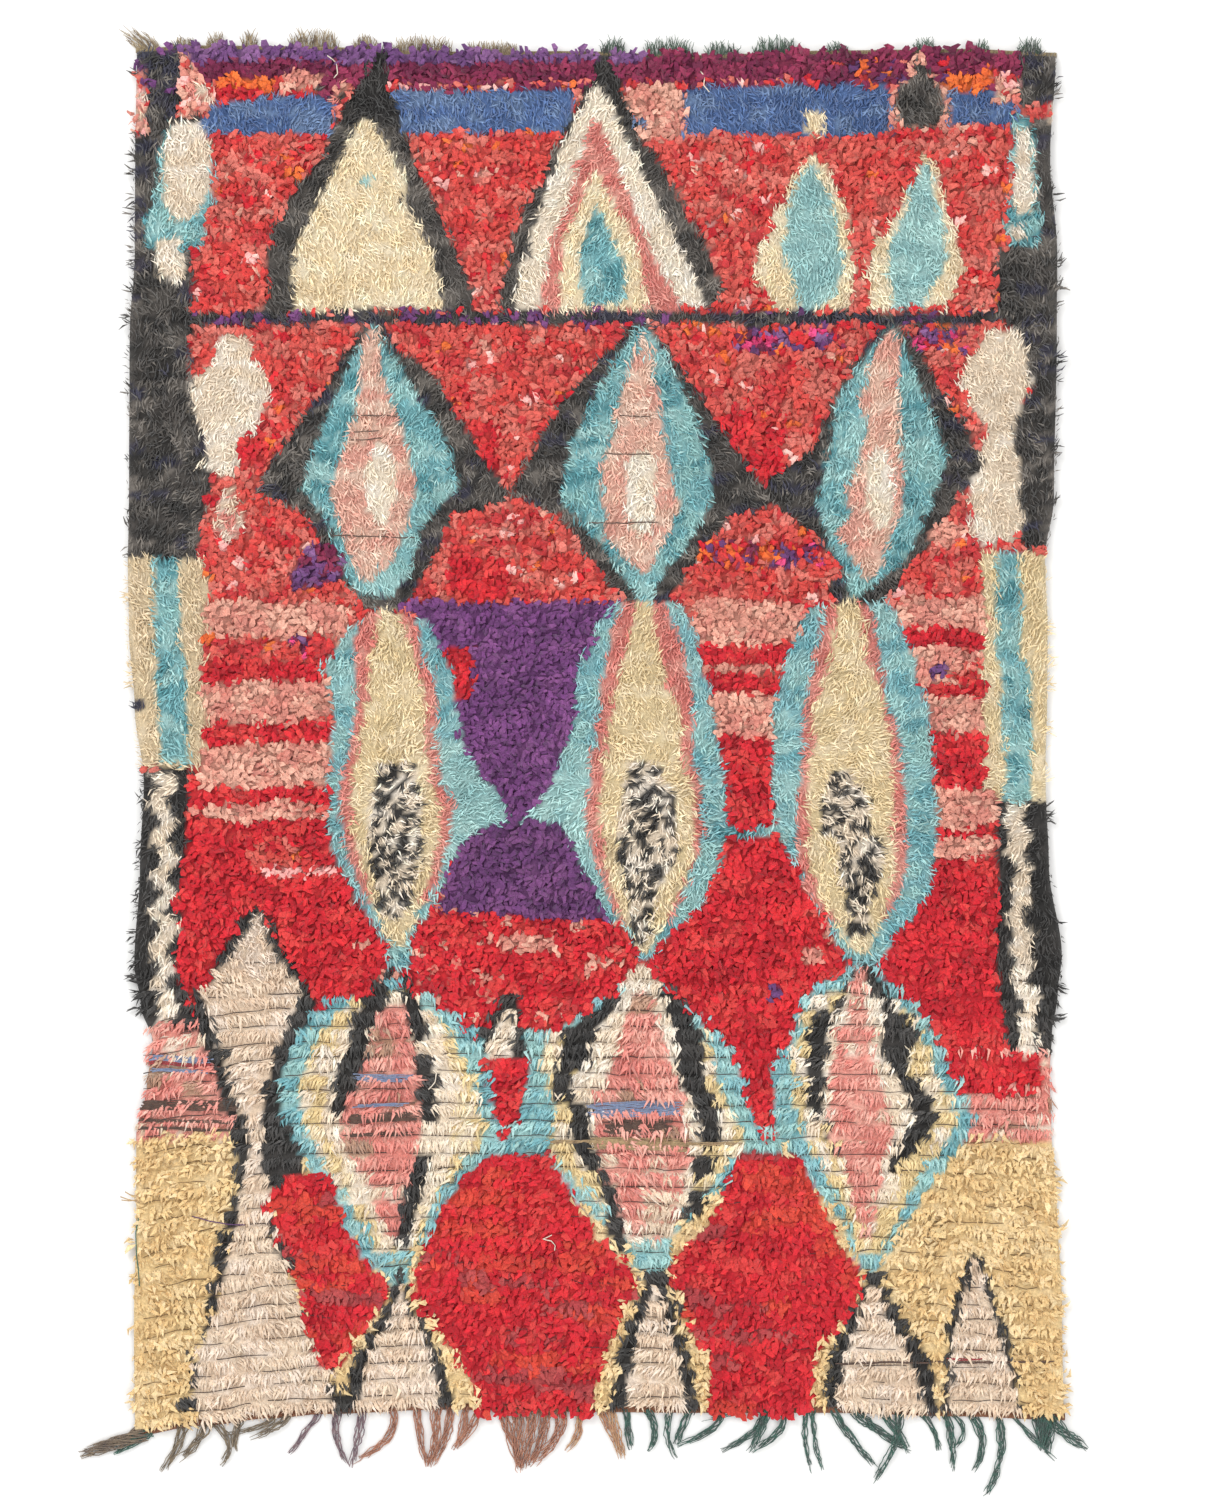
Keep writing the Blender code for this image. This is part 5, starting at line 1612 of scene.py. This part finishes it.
def build_near_end(chance):
    """The woven near end and its long plied fringe."""

    def place(across, along):
        x, y = ground_place(across, 0, 0)
        return x, y - END_WIDTH * (1 - along)

    band = woven_end("near_end", place, woven_material("near_weave", (142, 96, 72), (112, 78, 60)))
    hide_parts("long_fringe")
    pieces = [band]
    west = -FIELD_WIDTH
    for dye in FRINGE_DYES:
        own = [strand for strand in LONG_FRINGE if west <= strand.root < dye.upto]
        lines = []
        for order, strand in enumerate(own):
            lines += fringe_yarns(strand, FRINGE_LIFT * (order % 3), chance)
        material = fibre_material(dye.piece, 0.9, 0.3, 650, dye.tone, dye.second)
        piece = strand_lines(dye.piece, lines, FRINGE_YARN_RADIUS, material)
        pieces.append(piece)
        west = dye.upto
    return pieces


def build_far_end(chance):
    """The woven far end and its short frayed brushes."""

    def place(across, along):
        x, y = ground_place(across, 1, 0)
        return x, y + FRAY_END_WIDTH * along

    band = woven_end("far_end", place, woven_material("far_weave", (150, 134, 104), (118, 102, 78)))
    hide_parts("frayed_end")
    pieces = [band]
    for name, tone, second, brushes in (
        ("brush_beige", (186, 166, 130), (112, 92, 74), FRAYED_BRUSHES[:8]),
        ("brush_green", (92, 122, 100), (62, 72, 66), FRAYED_BRUSHES[8:]),
    ):
        lines = [line for brush in brushes for line in brush_lines(brush, chance)]
        piece = strand_lines(name, lines, BRUSH_RADIUS, fibre_material(name, 0.9, 0.3, 650, tone, second))
        pieces.append(piece)
    return pieces


def build_wefts(chance):
    """The wefts that show between the rows, the bare ones over worn patches, and the loose threads."""

    def fibre(name, tone, second=None):
        return fibre_material(name, 0.9, 0.2, 600, tone, second)

    pieces = []
    for name, tone, showing, bare_over, waves, seed in (
        ("wefts", (66, 50, 44), WEFTS_SHOW_IN, -0.4, 0.0014, 34),
        ("wefts_in_yellow", (112, 84, 48), ("yellow",), -0.1, 0.0040, 39),
        ("wefts_in_red", (96, 30, 34), ("red_streaks",), 0.3, 0.0030, 38),
    ):
        lines = weft_lines(showing, bare_over, waves, seed)
        pieces.append(strand_lines(name, lines, WEFT_RADIUS, fibre(name, tone)))
    for tone, (first, second) in WEFT_TONES.items():
        name = "bare_wefts_" + tone
        lines = bare_weft_lines(tone, chance)
        pieces.append(strand_lines(name, lines, BARE_WEFT_RADIUS, fibre(name, first, second)))
    for tone, colour in THREAD_TONES.items():
        name = "loose_" + tone
        pieces.append(strand_lines(name, thread_lines(tone), THREAD_RADIUS, fibre(name, colour)))
    return pieces


# The camera straight above: height of the photo's frame in metres, lens and sensor in millimetres, the pile's
# middle height
FRAME_HEIGHT = 2.6475
LENS = 100
SENSOR = 36
PILE_MIDDLE = 0.02


def build_room():
    """A plain pale floor, soft even light, and the camera straight above at the photo's framing."""
    bpy.ops.mesh.primitive_plane_add(size=14, location=(0, 0, -0.0002))
    floor = bpy.context.object
    floor.name = "floor"
    paper = bpy.data.materials.new("floor")
    paper.use_nodes = True
    shader = paper.node_tree.nodes["Principled BSDF"]
    shader.inputs["Base Color"].default_value = (0.86, 0.86, 0.855, 1)
    shader.inputs["Roughness"].default_value = 0.9
    floor.data.materials.append(paper)
    world = bpy.data.worlds.new("studio")
    world.use_nodes = True
    sky = world.node_tree.nodes["Background"]
    sky.inputs["Color"].default_value = (1, 0.995, 0.985, 1)
    sky.inputs["Strength"].default_value = 1.0
    bpy.context.scene.world = world
    for name, place, size, power in (
        ("key", (-2.2, 2.4, 4.2), 2.6, 110),
        ("fill", (2.6, -1.6, 4.4), 3.2, 50),
    ):
        light = bpy.data.lights.new(name, "AREA")
        light.size = size
        light.energy = power
        lamp = bpy.data.objects.new(name, light)
        lamp.location = place
        lamp.rotation_euler = (-Vector(place)).to_track_quat("-Z", "Y").to_euler()
        bpy.context.scene.collection.objects.link(lamp)
    camera = bpy.data.objects.new("camera", bpy.data.cameras.new("camera"))
    camera.data.lens = LENS
    camera.data.sensor_fit = "VERTICAL"
    camera.data.sensor_height = SENSOR
    camera.location = (CENTRE.x + 0.0168, CENTRE.y - 0.0353, FRAME_HEIGHT * LENS / SENSOR + PILE_MIDDLE)
    bpy.context.scene.collection.objects.link(camera)
    bpy.context.scene.camera = camera
    bpy.context.scene.view_settings.view_transform = "Standard"


def main():
    chance = np.random.default_rng(SEED)
    ground = build_ground()
    pieces = build_pile()
    pieces += build_wefts(chance)
    pieces += build_near_end(chance)
    pieces += build_far_end(chance)
    build_room()


main()
